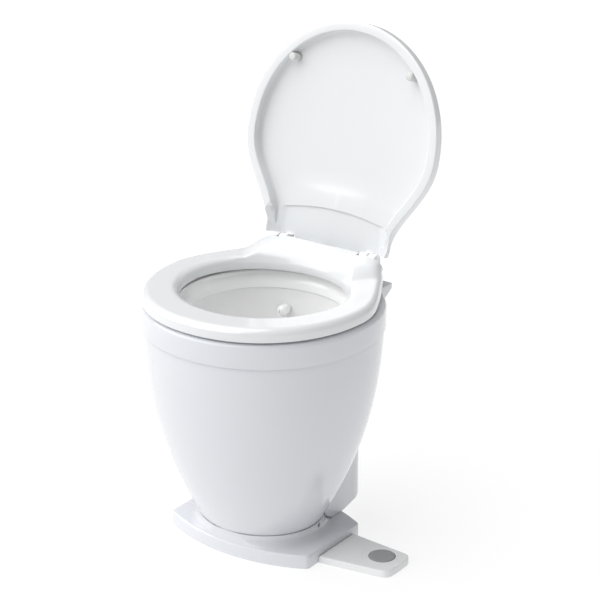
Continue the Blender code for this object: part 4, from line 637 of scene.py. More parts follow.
def dress(made, finish, body, *nodes):
    """Give a finished piece its material, its body and the nodes that it stands for."""
    made.data.materials.clear()
    made.data.materials.append(finishes[finish])
    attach(made, body)
    if nodes:
        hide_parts(*nodes)
    return made


class Value:
    """A socket of a Geometry Nodes tree. Reckoning with it adds Math nodes."""

    def __init__(self, tree, socket):
        self.tree, self.socket = tree, socket

    def math(self, operation, *others):
        made = self.tree.node("ShaderNodeMath", self, *others, choose={"operation": operation})
        return Value(self.tree, made)

    def __add__(self, other):
        return self.math("ADD", other)

    def __sub__(self, other):
        return self.math("SUBTRACT", other)

    def __mul__(self, other):
        return self.math("MULTIPLY", other)

    def __pow__(self, other):
        return self.math("POWER", other)

    def __rsub__(self, other):
        return self * -1 + other

    __radd__, __rmul__ = __add__, __mul__


def between(low, high, share):
    return (high - low) * share + low


class Tree(Nodes):
    """A Geometry Nodes tree. Its inputs are looked up by name."""

    def __init__(self, name, sockets):
        super().__init__(bpy.data.node_groups.new(name, "GeometryNodeTree"))
        face = self.tree.interface
        face.new_socket("Geometry", in_out="INPUT", socket_type="NodeSocketGeometry")
        for label, kind, description in sockets:
            face.new_socket(label, in_out="INPUT", socket_type="NodeSocket" + kind, description=description)
        face.new_socket("Geometry", in_out="OUTPUT", socket_type="NodeSocketGeometry")
        self.given = self.tree.nodes.new("NodeGroupInput").outputs
        self.result = self.tree.nodes.new("NodeGroupOutput").inputs[0]

    def __getitem__(self, name):
        return Value(self, self.given[name])

    def vector(self, x, y, z):
        return self.node("ShaderNodeCombineXYZ", x, y, z)

    def grid(self, columns, rows):
        """A grid of side 1 round the origin, and where its points lie along X and Y."""
        place = self.tree.nodes.new("ShaderNodeSeparateXYZ")
        self.feed(place.inputs[0], self.node("GeometryNodeInputPosition"))
        made = self.node("GeometryNodeMeshGrid", 1.0, 1.0, columns, rows)
        return made, Value(self, place.outputs["X"]), Value(self, place.outputs["Y"])

    def bent(self, grid, x, y, z):
        """A grid with its points moved to new places. Those that meet become one."""
        moved = self.node("GeometryNodeSetPosition", grid, None, self.vector(x, y, z))
        return self.node("GeometryNodeMergeByDistance", moved, Distance=0.00001)

    def raised(self, made, height, **named):
        offset = self.vector(0.0, 0.0, height)
        return self.node("GeometryNodeTransform", made, Translation=offset, **named)

    def cylinder(self, steps, radius, depth, low):
        made = self.node("GeometryNodeMeshCylinder", Vertices=steps, Radius=radius, Depth=depth)
        return self.raised(made, depth * 0.5 + low)

    def boolean(self, operation, first, others):
        made = self.tree.nodes.new("GeometryNodeMeshBoolean")
        made.operation = operation
        made.solver = "EXACT"
        if operation == "DIFFERENCE":
            self.feed(made.inputs["Mesh 1"], first)
        else:
            others = [first] + others
        for other in others:
            self.feed(made.inputs["Mesh 2"], other)
        return made.outputs["Mesh"]

    def on_points(self, made):
        """One instance of a shape on each input point, its Z turned to the point's axis."""
        axis = self.node("GeometryNodeInputNamedAttribute", "axis", give="Attribute",
                         choose={"data_type": "FLOAT_VECTOR"})
        aim = self.node("FunctionNodeAlignRotationToVector", choose={"axis": "Z"}, Vector=axis)
        return self.node("GeometryNodeInstanceOnPoints", self["Geometry"], Instance=made, Rotation=aim)

    def end(self, geometry):
        """Close the tree: instances made real, then the material."""
        real = self.node("GeometryNodeRealizeInstances", geometry)
        self.feed(self.result, self.node("GeometryNodeSetMaterial", real, None, self["Material"]))
        return self.tree


def grow(made, group, values):
    """Run a Geometry Nodes tree on an object with its inputs set by name, and keep the plain mesh."""
    step = made.modifiers.new("nodes", "NODES")
    step.node_group = group
    for item in group.interface.items_tree:
        if item.in_out == "INPUT" and item.name in values:
            step[item.identifier] = values[item.name]
    return settle(made)


def skirt_tree():
    """Bowl shell: a grid wrapped round an oval that swells from the foot to the rim."""
    tree = Tree("bowl_shell", [
        ("Around", "Int", "Points round the shell"),
        ("Levels", "Int", "Points up the shell"),
        ("Foot half width", "Float", "Half of the foot's width"),
        ("Foot half length", "Float", "Half of the foot's length"),
        ("Foot centre", "Float", "Middle of the foot along Y"),
        ("Foot height", "Float", "Height of the shell's foot"),
        ("Rim half width", "Float", "Half of the width at the rim"),
        ("Rim front", "Float", "Reach of the rim to the front"),
        ("Rim rear", "Float", "Reach of the rim to the rear"),
        ("Rim height", "Float", "Height of the shell's top"),
        ("Straight share", "Float", "Share of the swelling that is even"),
        ("Belly power", "Float", "How low the shell swells"),
        ("Fullness", "Float", "How far the rim's oval fills out between its axes"),
        ("Material", "Material", "Finish of the shell"),
    ])
    grid, u, v = tree.grid(tree["Around"], tree["Levels"])
    turn = u * (2 * pi) + 3 * pi / 2
    rise = v + 0.5
    left = 1 - rise
    straight = tree["Straight share"]
    swell = 1 - (1 - straight) * left ** tree["Belly power"] - straight * left
    c, s = turn.math("COSINE"), turn.math("SINE")
    fill = tree["Fullness"] * rise * (c * s * 2.0) ** 2.0 + 1.0
    half = between(tree["Foot half width"], tree["Rim half width"], swell)
    ahead, behind = [between(tree["Foot half length"], tree[end], swell) for end in ("Rim front", "Rim rear")]
    length = between(ahead, behind, s.math("GREATER_THAN", 0.0))
    y = s * fill * length + tree["Foot centre"] * (1 - swell)
    height = between(tree["Foot height"], tree["Rim height"], rise)
    return tree.end(tree.bent(grid, c * fill * half, y, height))


def screw_tree():
    """Pan-head screws with a cross recess, one on each point."""
    tree = Tree("screw_set", [
        ("Head radius", "Float", "Radius of the head"),
        ("Head height", "Float", "Height of the head"),
        ("Shank radius", "Float", "Radius of the shank"),
        ("Shank length", "Float", "Length of the shank"),
        ("Recess width", "Float", "Width of one arm of the cross"),
        ("Recess depth", "Float", "Depth of the cross"),
        ("Material", "Material", "Finish of the screws"),
    ])
    radius, height, length = tree["Head radius"], tree["Head height"], tree["Shank length"]
    width, depth = tree["Recess width"], tree["Recess depth"]
    flat_share = 0.55
    head = tree.cylinder(40, radius, height * flat_share, 0.0)
    ball = tree.node("GeometryNodeMeshUVSphere", Segments=40, Rings=24, Radius=1.0)
    size = tree.vector(radius, radius, height * (1 - flat_share))
    dome = tree.raised(ball, height * flat_share, Scale=size)
    shank = tree.cylinder(24, tree["Shank radius"], length, length * -1)
    solid = tree.boolean("UNION", head, [dome, shank])
    arm = radius * 1.15
    sizes = [tree.vector(width, arm, depth), tree.vector(arm, width, depth)]
    cross = [tree.raised(tree.node("GeometryNodeMeshCube", size), height - depth * 0.5) for size in sizes]
    return tree.end(tree.on_points(tree.boolean("DIFFERENCE", solid, cross)))


def pad_tree():
    """Round rubber pads with a soft rim at both ends, one on each point."""
    tree = Tree("pad_set", [
        ("Radius", "Float", "Radius of the pad"),
        ("Height", "Float", "Height of the pad"),
        ("Edge", "Float", "Radius of the soft rim"),
        ("Material", "Material", "Finish of the pads"),
    ])
    edge, middle = tree["Edge"], tree["Height"] * 0.5
    grid, u, v = tree.grid(49, 13)
    turn, tilt = u * (2 * pi), v * pi
    wall = v.math("ABSOLUTE").math("LESS_THAN", 0.499)
    out = (tilt.math("COSINE") * edge + (tree["Radius"] - edge)) * wall
    slope = tilt.math("SINE")
    height = slope * edge + slope.math("SIGN") * (middle - edge) + middle
    pad = tree.bent(grid, turn.math("COSINE") * out, turn.math("SINE") * out, height)
    return tree.end(tree.on_points(pad))


def set_on_points(name, places, group, finish, values):
    """Pieces set by a Geometry Nodes tree. Each place is a point and the direction that its piece faces."""
    mesh = bpy.data.meshes.new(name)
    mesh.from_pydata([spot for spot, _ in places], [], [])
    facing = mesh.attributes.new("axis", "FLOAT_VECTOR", "POINT")
    for item, (_, axis) in zip(facing.data, places):
        item.vector = axis
    made = bpy.data.objects.new(name, mesh)
    looks.objects.link(made)
    return grow(made, group, {"Material": finishes[finish], **values})


# Base, bowl, rim and basin


def base_outline(inset=0.0, steps=24):
    side = base_high.x - inset
    radius = (side ** 2 + base_arc_rise ** 2) / (2 * base_arc_rise)
    drop = base_arc_rise - radius
    xs = [-side + 2 * side * k / steps for k in range(steps + 1)]
    front = [(x, base_front_y + inset - drop - sqrt(radius ** 2 - x ** 2)) for x in xs]
    rear = [(-x, base_rear_y - inset + drop + sqrt(radius ** 2 - x ** 2)) for x in xs]
    return front + rear


def foot_ring(grow_by, height):
    length = foot_half_length + grow_by
    return lift(oval(foot_half_width + grow_by, length, length, foot_centre_y), height)


def cove_rings():
    """Rings of the plinth, which sweeps down in a hollow curve to the base plate."""
    rings = [foot_ring(plinth_spread, base_height - 0.003)]
    for gone, left in quarter(24):
        spread = plinth_spread * left ** 1.15 + 0.0014 * (1 - left)
        rings.append(foot_ring(spread, base_height + plinth_height * gone ** 0.9))
    return rings


def skirt_ring(height, inset=0.0):
    t = (height - foot_z) / (skirt_top - foot_z)
    swell = 1 - (1 - straight_share) * (1 - t) ** belly_power - straight_share * (1 - t)

    def reach(foot, rim):
        return foot + (rim - skirt_top_inset - foot) * swell - inset

    return lift(oval(reach(foot_half_width, rim_half_width), reach(foot_half_length, rim_front),
                     reach(foot_half_length, rim_rear), foot_centre_y * (1 - swell),
                     2 + (rim_power - 2) * t), height)


def rim_ring(inset, height):
    return lift(oval(rim_half_width - inset, rim_front - inset, rim_rear - inset, 0.0, rim_power), height)


class TOILET_OT_base(bpy.types.Operator):
    """Build the base plate with its rounded edge, hollow plinth curve, pockets and ribs"""
    bl_idname = "toilet.base"
    bl_label = "Base plate"

    def execute(self, context):
        corner, soft, foot_soft = 0.008, 0.0032, 0.0008
        rib, wall, far, deep = 0.006, 0.005, 0.2, 0.1
        boss_x, boss_y, boss_radius, hole_radius = 0.056, 0.045, 0.008, 0.004
        slot_wall, slot_half, slot_low, slot_high = 0.010, 0.0184, 0.0046, 0.0094

        def edge(inset):
            return rounded(base_outline(inset), corner - inset)

        rings = [lift(edge(foot_soft), 0.0), lift(edge(0.0), foot_soft), lift(edge(0.0), base_height - soft)]
        base = shape("base_plate_look", loft(rings + domed(edge, base_height, soft, 8)))
        room = prism(rounded(base_outline(soft * 0.7), corner), 0, foot_z + overrun)
        plinth = carve(shape("plinth", loft(cove_rings())), [common(room)])
        tray = loft([foot_ring(-plinth_wall, base_height), foot_ring(-plinth_wall, foot_z + overrun)])
        pocket = shape("pocket", prism(base_outline(wall), -overrun, base_height - wall))
        spots = [(side * boss_x, end * boss_y, -0.02) for side in (-1, 1) for end in (-1, 1)]
        inner = [cut(block((-x, -y, -deep), (x, y, deep))) for x, y in ((far, rib), (rib, far))]
        inner += [cut(rod(spot, 0.08, boss_radius, steps=32)) for spot in spots]
        steps = [joined(plinth), cut(tray), cut(carve(pocket, inner))]
        steps += [cut(rod(spot, 0.08, hole_radius, steps=32)) for spot in spots]
        steps.append(cut(block((base_high.x - slot_wall, -slot_half, slot_low),
                               (base_high.x + overrun, slot_half, slot_high))))
        for side in sides.values():
            turn, radius = side_turn(side), lock_shank_radius + running_gap
            steps.append(cut(rod((side * lock_face, 0, lock_z), overrun, lock_head_room, turn, 32)))
            start = (side * (lock_face - lock_shank_length), 0, lock_z)
            steps.append(cut(rod(start, lock_shank_length * 1.2, radius, turn, 24)))
            spot = (side * housing_screw_x, housing_screw_y, base_height - 0.008)
            steps.append(cut(rod(spot, overrun, 0.0021, steps=24)))
        dress(carve(base, steps, 30), "white_gloss", "frame", "base_plate")
        return {"FINISHED"}


class TOILET_OT_skirt(bpy.types.Operator):
    """Shape the bowl's shell with Geometry Nodes, thicken it and cut its rear port"""
    bl_idname = "toilet.skirt"
    bl_label = "Bowl shell"

    def execute(self, context):
        made, detail = settings().shell, settings().detail
        port_half, port_low, port_high = 0.078, 0.048, 0.186
        skirt = grow(shape("bowl_skirt_look", bmesh.new()), skirt_tree(), {
            "Around": detail.around + 1, "Levels": detail.levels + 1,
            "Foot half width": made.foot_half_width, "Foot half length": made.foot_half_length,
            "Foot centre": foot_centre_y, "Foot height": foot_z,
            "Rim half width": rim_half_width - skirt_top_inset, "Rim front": rim_front - skirt_top_inset,
            "Rim rear": rim_rear - skirt_top_inset, "Rim height": skirt_top,
            "Straight share": made.straight_share, "Belly power": made.belly_power,
            "Fullness": fullness(rim_power), "Material": finishes["white_gloss"],
        })
        wall = skirt.modifiers.new("wall", "SOLIDIFY")
        wall.thickness = skirt_wall
        wall.offset = -1
        softened(settle(skirt), 0.0008, 2, 60)
        carve(skirt, [cut(block((-port_half, 0, port_low), (port_half, rim_rear + overrun, port_high)))], 40)
        dress(skirt, "white_gloss", "frame", "bowl_skirt")
        return {"FINISHED"}


class TOILET_OT_band(bpy.types.Operator):
    """Build the rim band with its rounded top, basin ledge and rear deck"""
    bl_idname = "toilet.band"
    bl_label = "Rim band"

    def execute(self, context):
        foot_soft, outer_soft, inner_soft = 0.0006, 0.007, 0.0015
        bottom, ledge = skirt_top + touch_gap, band_top - ledge_drop
        ledge_inner, ledge_under = band_width + 0.010, ledge - 0.004
        lip = skirt_top_inset + skirt_wall + 0.0016
        lip_inner, lip_bottom = lip + 0.004, bottom - 0.011
        section = arc((foot_soft, bottom + foot_soft), foot_soft, 270, 180, 4)
        section += arc((outer_soft, band_top - outer_soft), outer_soft, 180, 90, 14)
        section += arc((band_width - inner_soft, band_top - inner_soft), inner_soft, 90, 0, 5)
        section += [(band_width, ledge), (ledge_inner, ledge), (ledge_inner, ledge_under),
                    (lip_inner, ledge_under), (lip_inner, lip_bottom), (lip, lip_bottom), (lip, bottom)]
        band = shape("rim_band_look", loft([rim_ring(*point) for point in section], closed=True), 40)
        front, heel, rear, half = 0.105, 0.145, 0.165, 0.111
        low = band_top - 0.021
        outline = [(front, band_top), (front, low), (heel, low), (rear, band_top - 0.009), (rear, band_top)]
        deck = softened(prism(outline, -half, half, "X"), 0.0018, 4)
        carve(deck, [cut(loft([rim_ring(band_width / 2, low - overrun), rim_ring(band_width / 2, 0.39)]))])
        steps = [joined(deck)]
        for side in sides.values():
            spot = (side * bracket_screw_x, bracket_screw_y, band_top - 0.016)
            steps.append(cut(rod(spot, 0.03, 0.0023, steps=24)))
        dress(carve(band, steps, 30), "white_gloss", "frame", "rim_band")
        return {"FINISHED"}


def basin_section():
    """Cross-section of the basin: half-width, front, rear, height, centre along Y."""
    top = band_top - 0.0005
    edge = band_width + running_gap
    soft, lip_soft, levels = 0.003, 0.0025, 28
    wide, length = 0.126, 0.121

    def rim(inset, height):
        return (rim_half_width - edge - inset, rim_front - edge - inset, rim_rear - edge - inset, height, 0)

    def even(half, long_half, height, middle=0.0):
        return (half, long_half, long_half, height, middle)

    def opening(out, height):
        return even(opening_half_width + out, opening_half_length + out, height)

    def lip(out, height):
        return even(lip_half_width + out, lip_half_length + out, height)

    inside = [rim(inset, top - soft + rise) for inset, rise in arc((soft, 0), soft, 180, 90, 5)]
    inside += [opening(soft + x, top - soft + z) for x, z in arc((0, 0), soft, 90, 180, 5)]
    inside += [opening(-0.0006, top - 0.008), lip(soft, (top + lip_height) / 2)]
    inside += [lip(x, lip_height + lip_soft + z) for x, z in arc((lip_soft, 0), lip_soft, 180, 270, 5)]
    inside.append(even(wide - basin_wall - 0.001, length - basin_wall - 0.001, lip_height + 0.0002))
    outside = []
    for gone, left in quarter(levels, 1):
        shrink, drop = (1 - gone) ** 0.9, 1 - left
        height = lip_height - (lip_height - outlet_top) * drop
        middle = outlet_y * (1 - shrink)
        half = outlet_radius + (wide - basin_wall - outlet_radius) * shrink
        long_half = outlet_radius + (length - basin_wall - outlet_radius) * shrink
        inside.append(even(half, long_half, height, middle))
        outside.append(even(half + basin_wall, long_half + basin_wall, height - basin_wall * drop, middle))
    radii = (outlet_radius, outlet_radius + basin_wall)
    pipe = [even(radius, radius, outlet_end, outlet_y) for radius in radii]
    seat_z = band_top - ledge_drop + touch_gap
    rest = [even(wide, length, lip_height), even(wide + soft, length + soft, seat_z), rim(0, seat_z)]
    return inside + pipe + outside[::-1] + rest


class TOILET_OT_basin(bpy.types.Operator):
    """Build the inner bowl with its rolled rim and rinse ledge"""
    bl_idname = "toilet.basin"
    bl_label = "Basin"

    def execute(self, context):
        rings = []
        for half, front, rear, height, middle in basin_section():
            share = min(1.0, max(0.0, (height - outlet_top) / (lip_height - outlet_top)))
            rings.append(lift(oval(half, front, rear, middle, 2 + (rim_power - 2) * share), height))
        basin = shape("basin_look", loft(rings, closed=True), 50)
        hole = rod((nozzle_at[0], 0, nozzle_at[1]), rim_rear, 0.0059, along_y, 32)
        dress(carve(basin, [cut(hole)], 50), "basin_white", "frame", "basin")
        return {"FINISHED"}


# Seat


def seat_flank(y):
    if y <= 0:
        return seat_half_width * max(0.0, 1 - (-y / seat_front) ** seat_power) ** (1 / seat_power)
    t = y / seat_neck_y
    return seat_half_width + (seat_neck - seat_half_width) * (2 * t ** 2 - t ** 3)


def seat_side(y):
    side = seat_flank(y)
    return side - round_drop(seat_corner, seat_rear - y) if seat_rear - y < seat_corner else side


def deck_top_z(share):
    """Height of the deck's middle, a share of the way up its ramp, which rounds off at the top."""
    foot = seat_top - deck_inset
    slope, bend, top_share = 1.06, 0.7, 1.18
    if share < bend:
        rise = slope * share
    else:
        past = min(share, top_share) - bend
        rise = slope * (bend + past - past ** 2 / (2 * (top_share - bend)))
    return foot + (deck_top - foot) * rise


def deck_z(x, y, into):
    """Height of the seat's raised rear deck, with the curve that rolls down into the opening."""
    out = (abs(x) + deck_flat_half + hypot(abs(x) - deck_flat_half, 0.006)) / 2
    past = y - (deck_foot_y + deck_slant_share * out)
    run = past + deck_ramp_y - y
    top = deck_top_z(past / run if run > 0.001 and past > 0 else min(0.0, past))
    half = seat_flank(y) - deck_inset
    if abs(x) > deck_flat_half:
        out = min(1.0, (abs(x) - deck_flat_half) / max(0.001, half - deck_flat_half))
        top = deck_low + (top - deck_low) * sqrt(1 - out * out)
    roll, lip = 0.026, 0.010
    if into < roll:
        low = deck_roll_foot + (deck_top - deck_roll_foot - lip) * into / roll
        top = min(top, low + lip * (1 - max(0.0, 1 - into / lip) ** 3))
    return top


def deck_rings(shares, gap):
    """Sections of the deck from its slanting foot to the hinge line, grown by a gap."""
    rings = []
    for share in shares:
        middle_y = deck_foot_y + (deck_ramp_y - deck_foot_y) * share
        slant = deck_slant_share * max(0.0, 1 - share)
        half = seat_neck
        for _ in range(20):
            half = (half + seat_flank(middle_y + slant * half)) / 2
        half += gap - deck_inset
        rise = deck_top_z(share) + gap - deck_low
        shoulder = arc((deck_flat_half, deck_low), half - deck_flat_half, 0, 90, 20, rise)
        right = [(half, seat_bottom)] + shoulder
        left = [(-x, z) for x, z in reversed(right)]
        rings.append([(x, middle_y + slant * abs(x) - gap, z) for x, z in right + left])
    return rings


def melted(first, second, reach):
    """The higher of two heights, with a soft hollow where they meet."""
    if reach <= 0:
        return max(first, second)
    near = max(reach - abs(first - second), 0.0) / reach
    return max(first, second) + near * near * reach / 4


def seat_section(angle):
    """Cross-section of the seat in one direction from its middle, its deck melted into the ring."""
    c, s = cos(angle), sin(angle)
    inner = 1 / hypot(c / opening_half_width, s / (seat_opening_rear if s > 0 else opening_half_length))
    outer = reach_to(seat_side, -seat_front, seat_rear, 0.0, angle)
    width = outer - inner
    roll, edge = min(seat_roll, width * 0.45), min(seat_edge, width * 0.45)
    runs = [inner + roll * gone for gone, _ in quarter(10)]
    runs += [inner + roll + (width - roll - edge) * k / 16 for k in range(1, 16)]
    runs += [outer - edge * left for _, left in quarter(12)]
    section = []
    melt, melt_start, rear_soft = 0.0025, 0.006, 0.0016
    for r in runs:
        x, y, into, out = r * c, r * s, r - inner, outer - r
        ring = seat_top
        if into < roll:
            ring = min(ring, seat_top - round_drop(roll, into))
        if out < edge:
            ring = min(ring, seat_top - round_drop(edge, out))
        reach = melt * max(0.0, min(1.0, into / melt_start, out / melt_start))
        z = melted(ring, deck_z(x, y, into), reach)
        if hood_half < abs(x) < seat_ear_inner and seat_rear - y < rear_soft:
            z -= round_drop(rear_soft, seat_rear - y)
        section.append((x, y, z))
    below = [(outer - seat_under * gone, seat_bottom + seat_under * left) for gone, left in quarter(5)]
    below += [(inner + seat_under * left, seat_bottom + seat_under * gone) for gone, left in quarter(5)]
    return section + [(r * c, r * s, z) for r, z in below]


class TOILET_OT_seat(bpy.types.Operator):
    """Build the seat: ring and raised deck in one surface, ears beside the hinge and a hood over it"""
    bl_idname = "toilet.seat"
    bl_label = "Seat"

    def execute(self, context):
        count = settings().detail.around
        corner = atan2(seat_rear, seat_side(seat_rear - 0.0001))
        angles = [2 * pi * k / count for k in range(count)]
        angles += [corner, pi - corner, corner - 0.012, pi - corner + 0.012]
        seat = shape("seat_look", loft([seat_section(angle) for angle in sorted(angles)], closed=True), 38)
        near, step, far = seat_ear_inner + touch_gap, 0.098, 0.14
        corners = ((near, 0.16), (far, 0.16), (far, 0.124), (step, 0.124), (step, 0.1345), (near, 0.1345))
        shares = [0.9, 1.0, 1.05, (hinge_y - deck_foot_y) / (deck_ramp_y - deck_foot_y)]
        steps = []
        for side in sides.values():
            ear = shape("ear", loft(deck_rings(shares, -0.00004), strips=True))
            room = prism([(side * x, y) for x, y in corners], 0.36, 0.42)
            below = block((-0.2, seat_rear, 0.36), (0.2, 0.17, hinge_z - knuckle_radius))
            barrel = softened(hinge_rod(side, near, seat_ear_outer, knuckle_radius), 0.0007)
            steps += [joined(carve(ear, [common(room), cut(below)])), joined(barrel),
                      cut(hinge_rod(side, 0.078, 0.0931, pin_bore, 32))]
        hood = block((-hood_half, seat_rear - 0.002, deck_top - hood_wall),
                     (hood_half, hood_rear, deck_top - 0.00002))
        steps.append(joined(softened(hood, 0.0005)))
        dress(carve(seat, steps, 38, "MANIFOLD"), "warm_white", "seat", "seat_ring")
        return {"FINISHED"}


# Lid


def lid_side(y):
    reach = hinge_y - y
    if reach >= lid_widest:
        t = (reach - lid_widest) / (lid_length - lid_widest)
        return lid_half_width * max(0.0, 1 - t ** lid_power) ** (1 / lid_power)
    t = min(1.0, (lid_widest - reach) / (lid_widest - lid_neck_reach)) ** lid_flank_power
    return lid_half_width + (lid_neck - lid_half_width) * t * t * (3 - 2 * t)


def lid_top_z(x, y):
    if y < lid_centre_y:
        out = (x / lid_half_width) ** 2 + ((lid_centre_y - y) / (lid_length - lid_widest)) ** 2
    else:
        out = (x / lid_side(y)) ** 2
    return lid_edge_top + lid_crown * max(0.0, 1 - out)


def lid_rings(count):
    """Rings of the closed lid: over its crown, round the edge and lip, and back along the panel."""
    angles = [2 * pi * (k + 0.5) / count for k in range(count)]
    reaches = [(angle, reach_to(lid_side, hinge_y - lid_length, hinge_y - lid_start, lid_centre_y, angle))
               for angle in angles]
    edge, lip_soft, hollow = 0.005, 0.0018, 0.004

    def ring(inset=0.0, height=None, drop=0.0, share=1.0):
        points = []
        for angle, reach in reaches:
            r = reach * share - inset
            x, y = r * cos(angle), lid_centre_y + r * sin(angle)
            points.append((x, y, lid_top_z(x, y) - drop if height is None else height))
        return points

    shares = [0.03, 0.1, 0.2, 0.3, 0.4, 0.5, 0.6, 0.68, 0.76, 0.83]
    rings = [ring(share=share) for share in shares]
    rings += [ring(edge * left, drop=edge * gone) for gone, left in quarter(10)]
    wall = list(zip(ring(drop=edge), ring(height=lid_lip_bottom + lip_soft)))
    rings += [[tuple(Vector(high).lerp(Vector(low), k / 3)) for high, low in wall] for k in range(1, 4)]
    lip, width = lid_lip_bottom, lid_lip_width
    rings += [ring(lip_soft * gone, lip + lip_soft * left) for gone, left in quarter(6, 1)]
    rings += [ring(width - lip_soft * left, lip + lip_soft * gone) for gone, left in quarter(6)]
    rings += [ring(width + hollow * gone + 0.0006, drop=lid_panel_wall + hollow * left)
              for gone, left in quarter(7)]
    return rings + [ring(drop=lid_panel_wall, share=share) for share in reversed(shares)]


def lid_pocket():
    """Space in the closed lid's underside for the seat's deck, with an arched front."""
    rings = []
    front, rear, bow, high = 0.088, hinge_y + 0.024, 0.016, deck_top + lid_room
    half, bend = seat_neck + lid_room, deck_shoulder + lid_room
    shoulder = arc((half - deck_shoulder - lid_room, deck_low), bend, 0, 90, 16, high - deck_low)
    right = shoulder + [(deck_flat_half * part, high) for part in (0.8, 0.6, 0.4, 0.2)]
    roof = right + [(0, high)] + [(-x, z) for x, z in reversed(right)]
    below = [(x, deck_low - overrun) for x, _ in reversed(roof)]
    for k in range(13):
        share = k / 12
        y = front + (rear - front) * share
        rings.append([(x, y + bow * (x / half) ** 2 * (1 - share), z) for x, z in roof + below])
    return loft(rings, strips=True)


def lid_rear_rings(level):
    """Sections of the panel's thicker rear, which slopes in to the pocket's arch and then stays level."""
    rings = []
    panel = lid_edge_top + lid_crown - lid_panel_wall
    lows = ((0.034, panel), (0.060, (panel + level) / 2), (0.088, level), (0.110, level), (lid_tab_y, level))
    for y, low in lows:
        half = lid_side(y) - 0.005
        xs = [half * (1 - k / 24) for k in range(49)]
        under = [(x, y, min(low, lid_top_z(x, y) - lid_panel_wall + touch_gap)) for x in xs]
        rings.append(under + [(x, y, lid_top_z(x, y) - lid_panel_wall / 2) for x in reversed(xs)])
    return rings


def lid_tab_outline(low):
    half = 0.064 - touch_gap
    xs = [half - 2 * half * k / 24 for k in range(25)]
    return [(-half, low), (half, low)] + [(x, lid_top_z(x, lid_tab_y) - 0.0006) for x in xs]


def lid_pad_places():
    """Where the lid's pads meet its panel, in the closed pose."""
    x, y = 0.104, hinge_y - 0.274
    return [(side * x, y, lid_top_z(x, y) - lid_panel_wall) for side in sides.values()]


def opening():
    """The turn that takes the closed lid to its open place."""
    centre = Matrix.Translation((0, hinge_y, hinge_z))
    return centre @ Matrix.Rotation(-lid_open_angle, 4, "X") @ centre.inverted()


class TOILET_OT_lid(bpy.types.Operator):
    """Build the open lid: crowned shell, lip, recessed panel, arched pocket, tab and two knuckles"""
    bl_idname = "toilet.lid"
    bl_label = "Lid"

    def execute(self, context):
        lid = shape("lid_look", loft(lid_rings(settings().detail.around)), 34)
        low = deck_top + lid_room
        tab = prism(lid_tab_outline(low), lid_tab_y, hinge_y + 0.007, "Y")
        steps = [joined(loft(lid_rear_rings(low - 0.002), strips=True)), joined(softened(tab, 0.0012, 4)),
                 cut(lid_pocket()), cut(loft(deck_rings([k / 12 for k in range(15)], lid_room), strips=True))]
        for side in sides.values():
            steps.append(cut(hinge_rod(side, 0.080, 0.0944, knuckle_radius + 0.0008, 96)))
        steps.append(cut(rod((-0.0643, hinge_y, hinge_z), 0.1286, 0.0074, along_x, 64)))
        front_y, rear_y = hinge_y - knuckle_radius + running_gap, hinge_y + knuckle_radius * 0.6
        ahead, high = front_y - knuckle_radius, lid_edge_top + lid_crown / 3
        outline = [(front_y, hinge_z), (rear_y, hinge_z), (rear_y, high), (ahead, high), (ahead, low),
                   (front_y, low)]
        for side in sides.values():
            web = prism(outline, *sorted((side * knuckle_inner, side * knuckle_outer)), "X")
            knuckle = hinge_rod(side, knuckle_inner, knuckle_outer, knuckle_radius)
            steps += [joined(softened(web, 0.0008)), joined(softened(knuckle, 0.0008)),
                      cut(hinge_rod(side, 0.064, 0.081, pin_bore, 32))]
        for x, y, z in lid_pad_places():
            steps.append(cut(rod((x, y, lid_lip_bottom), z + 0.0015 - lid_lip_bottom, 0.0063, steps=48)))
        carve(lid, steps, 34, "MANIFOLD")
        lid.data.transform(opening())
        dress(lid, "warm_white", "lid", "lid")
        return {"FINISHED"}


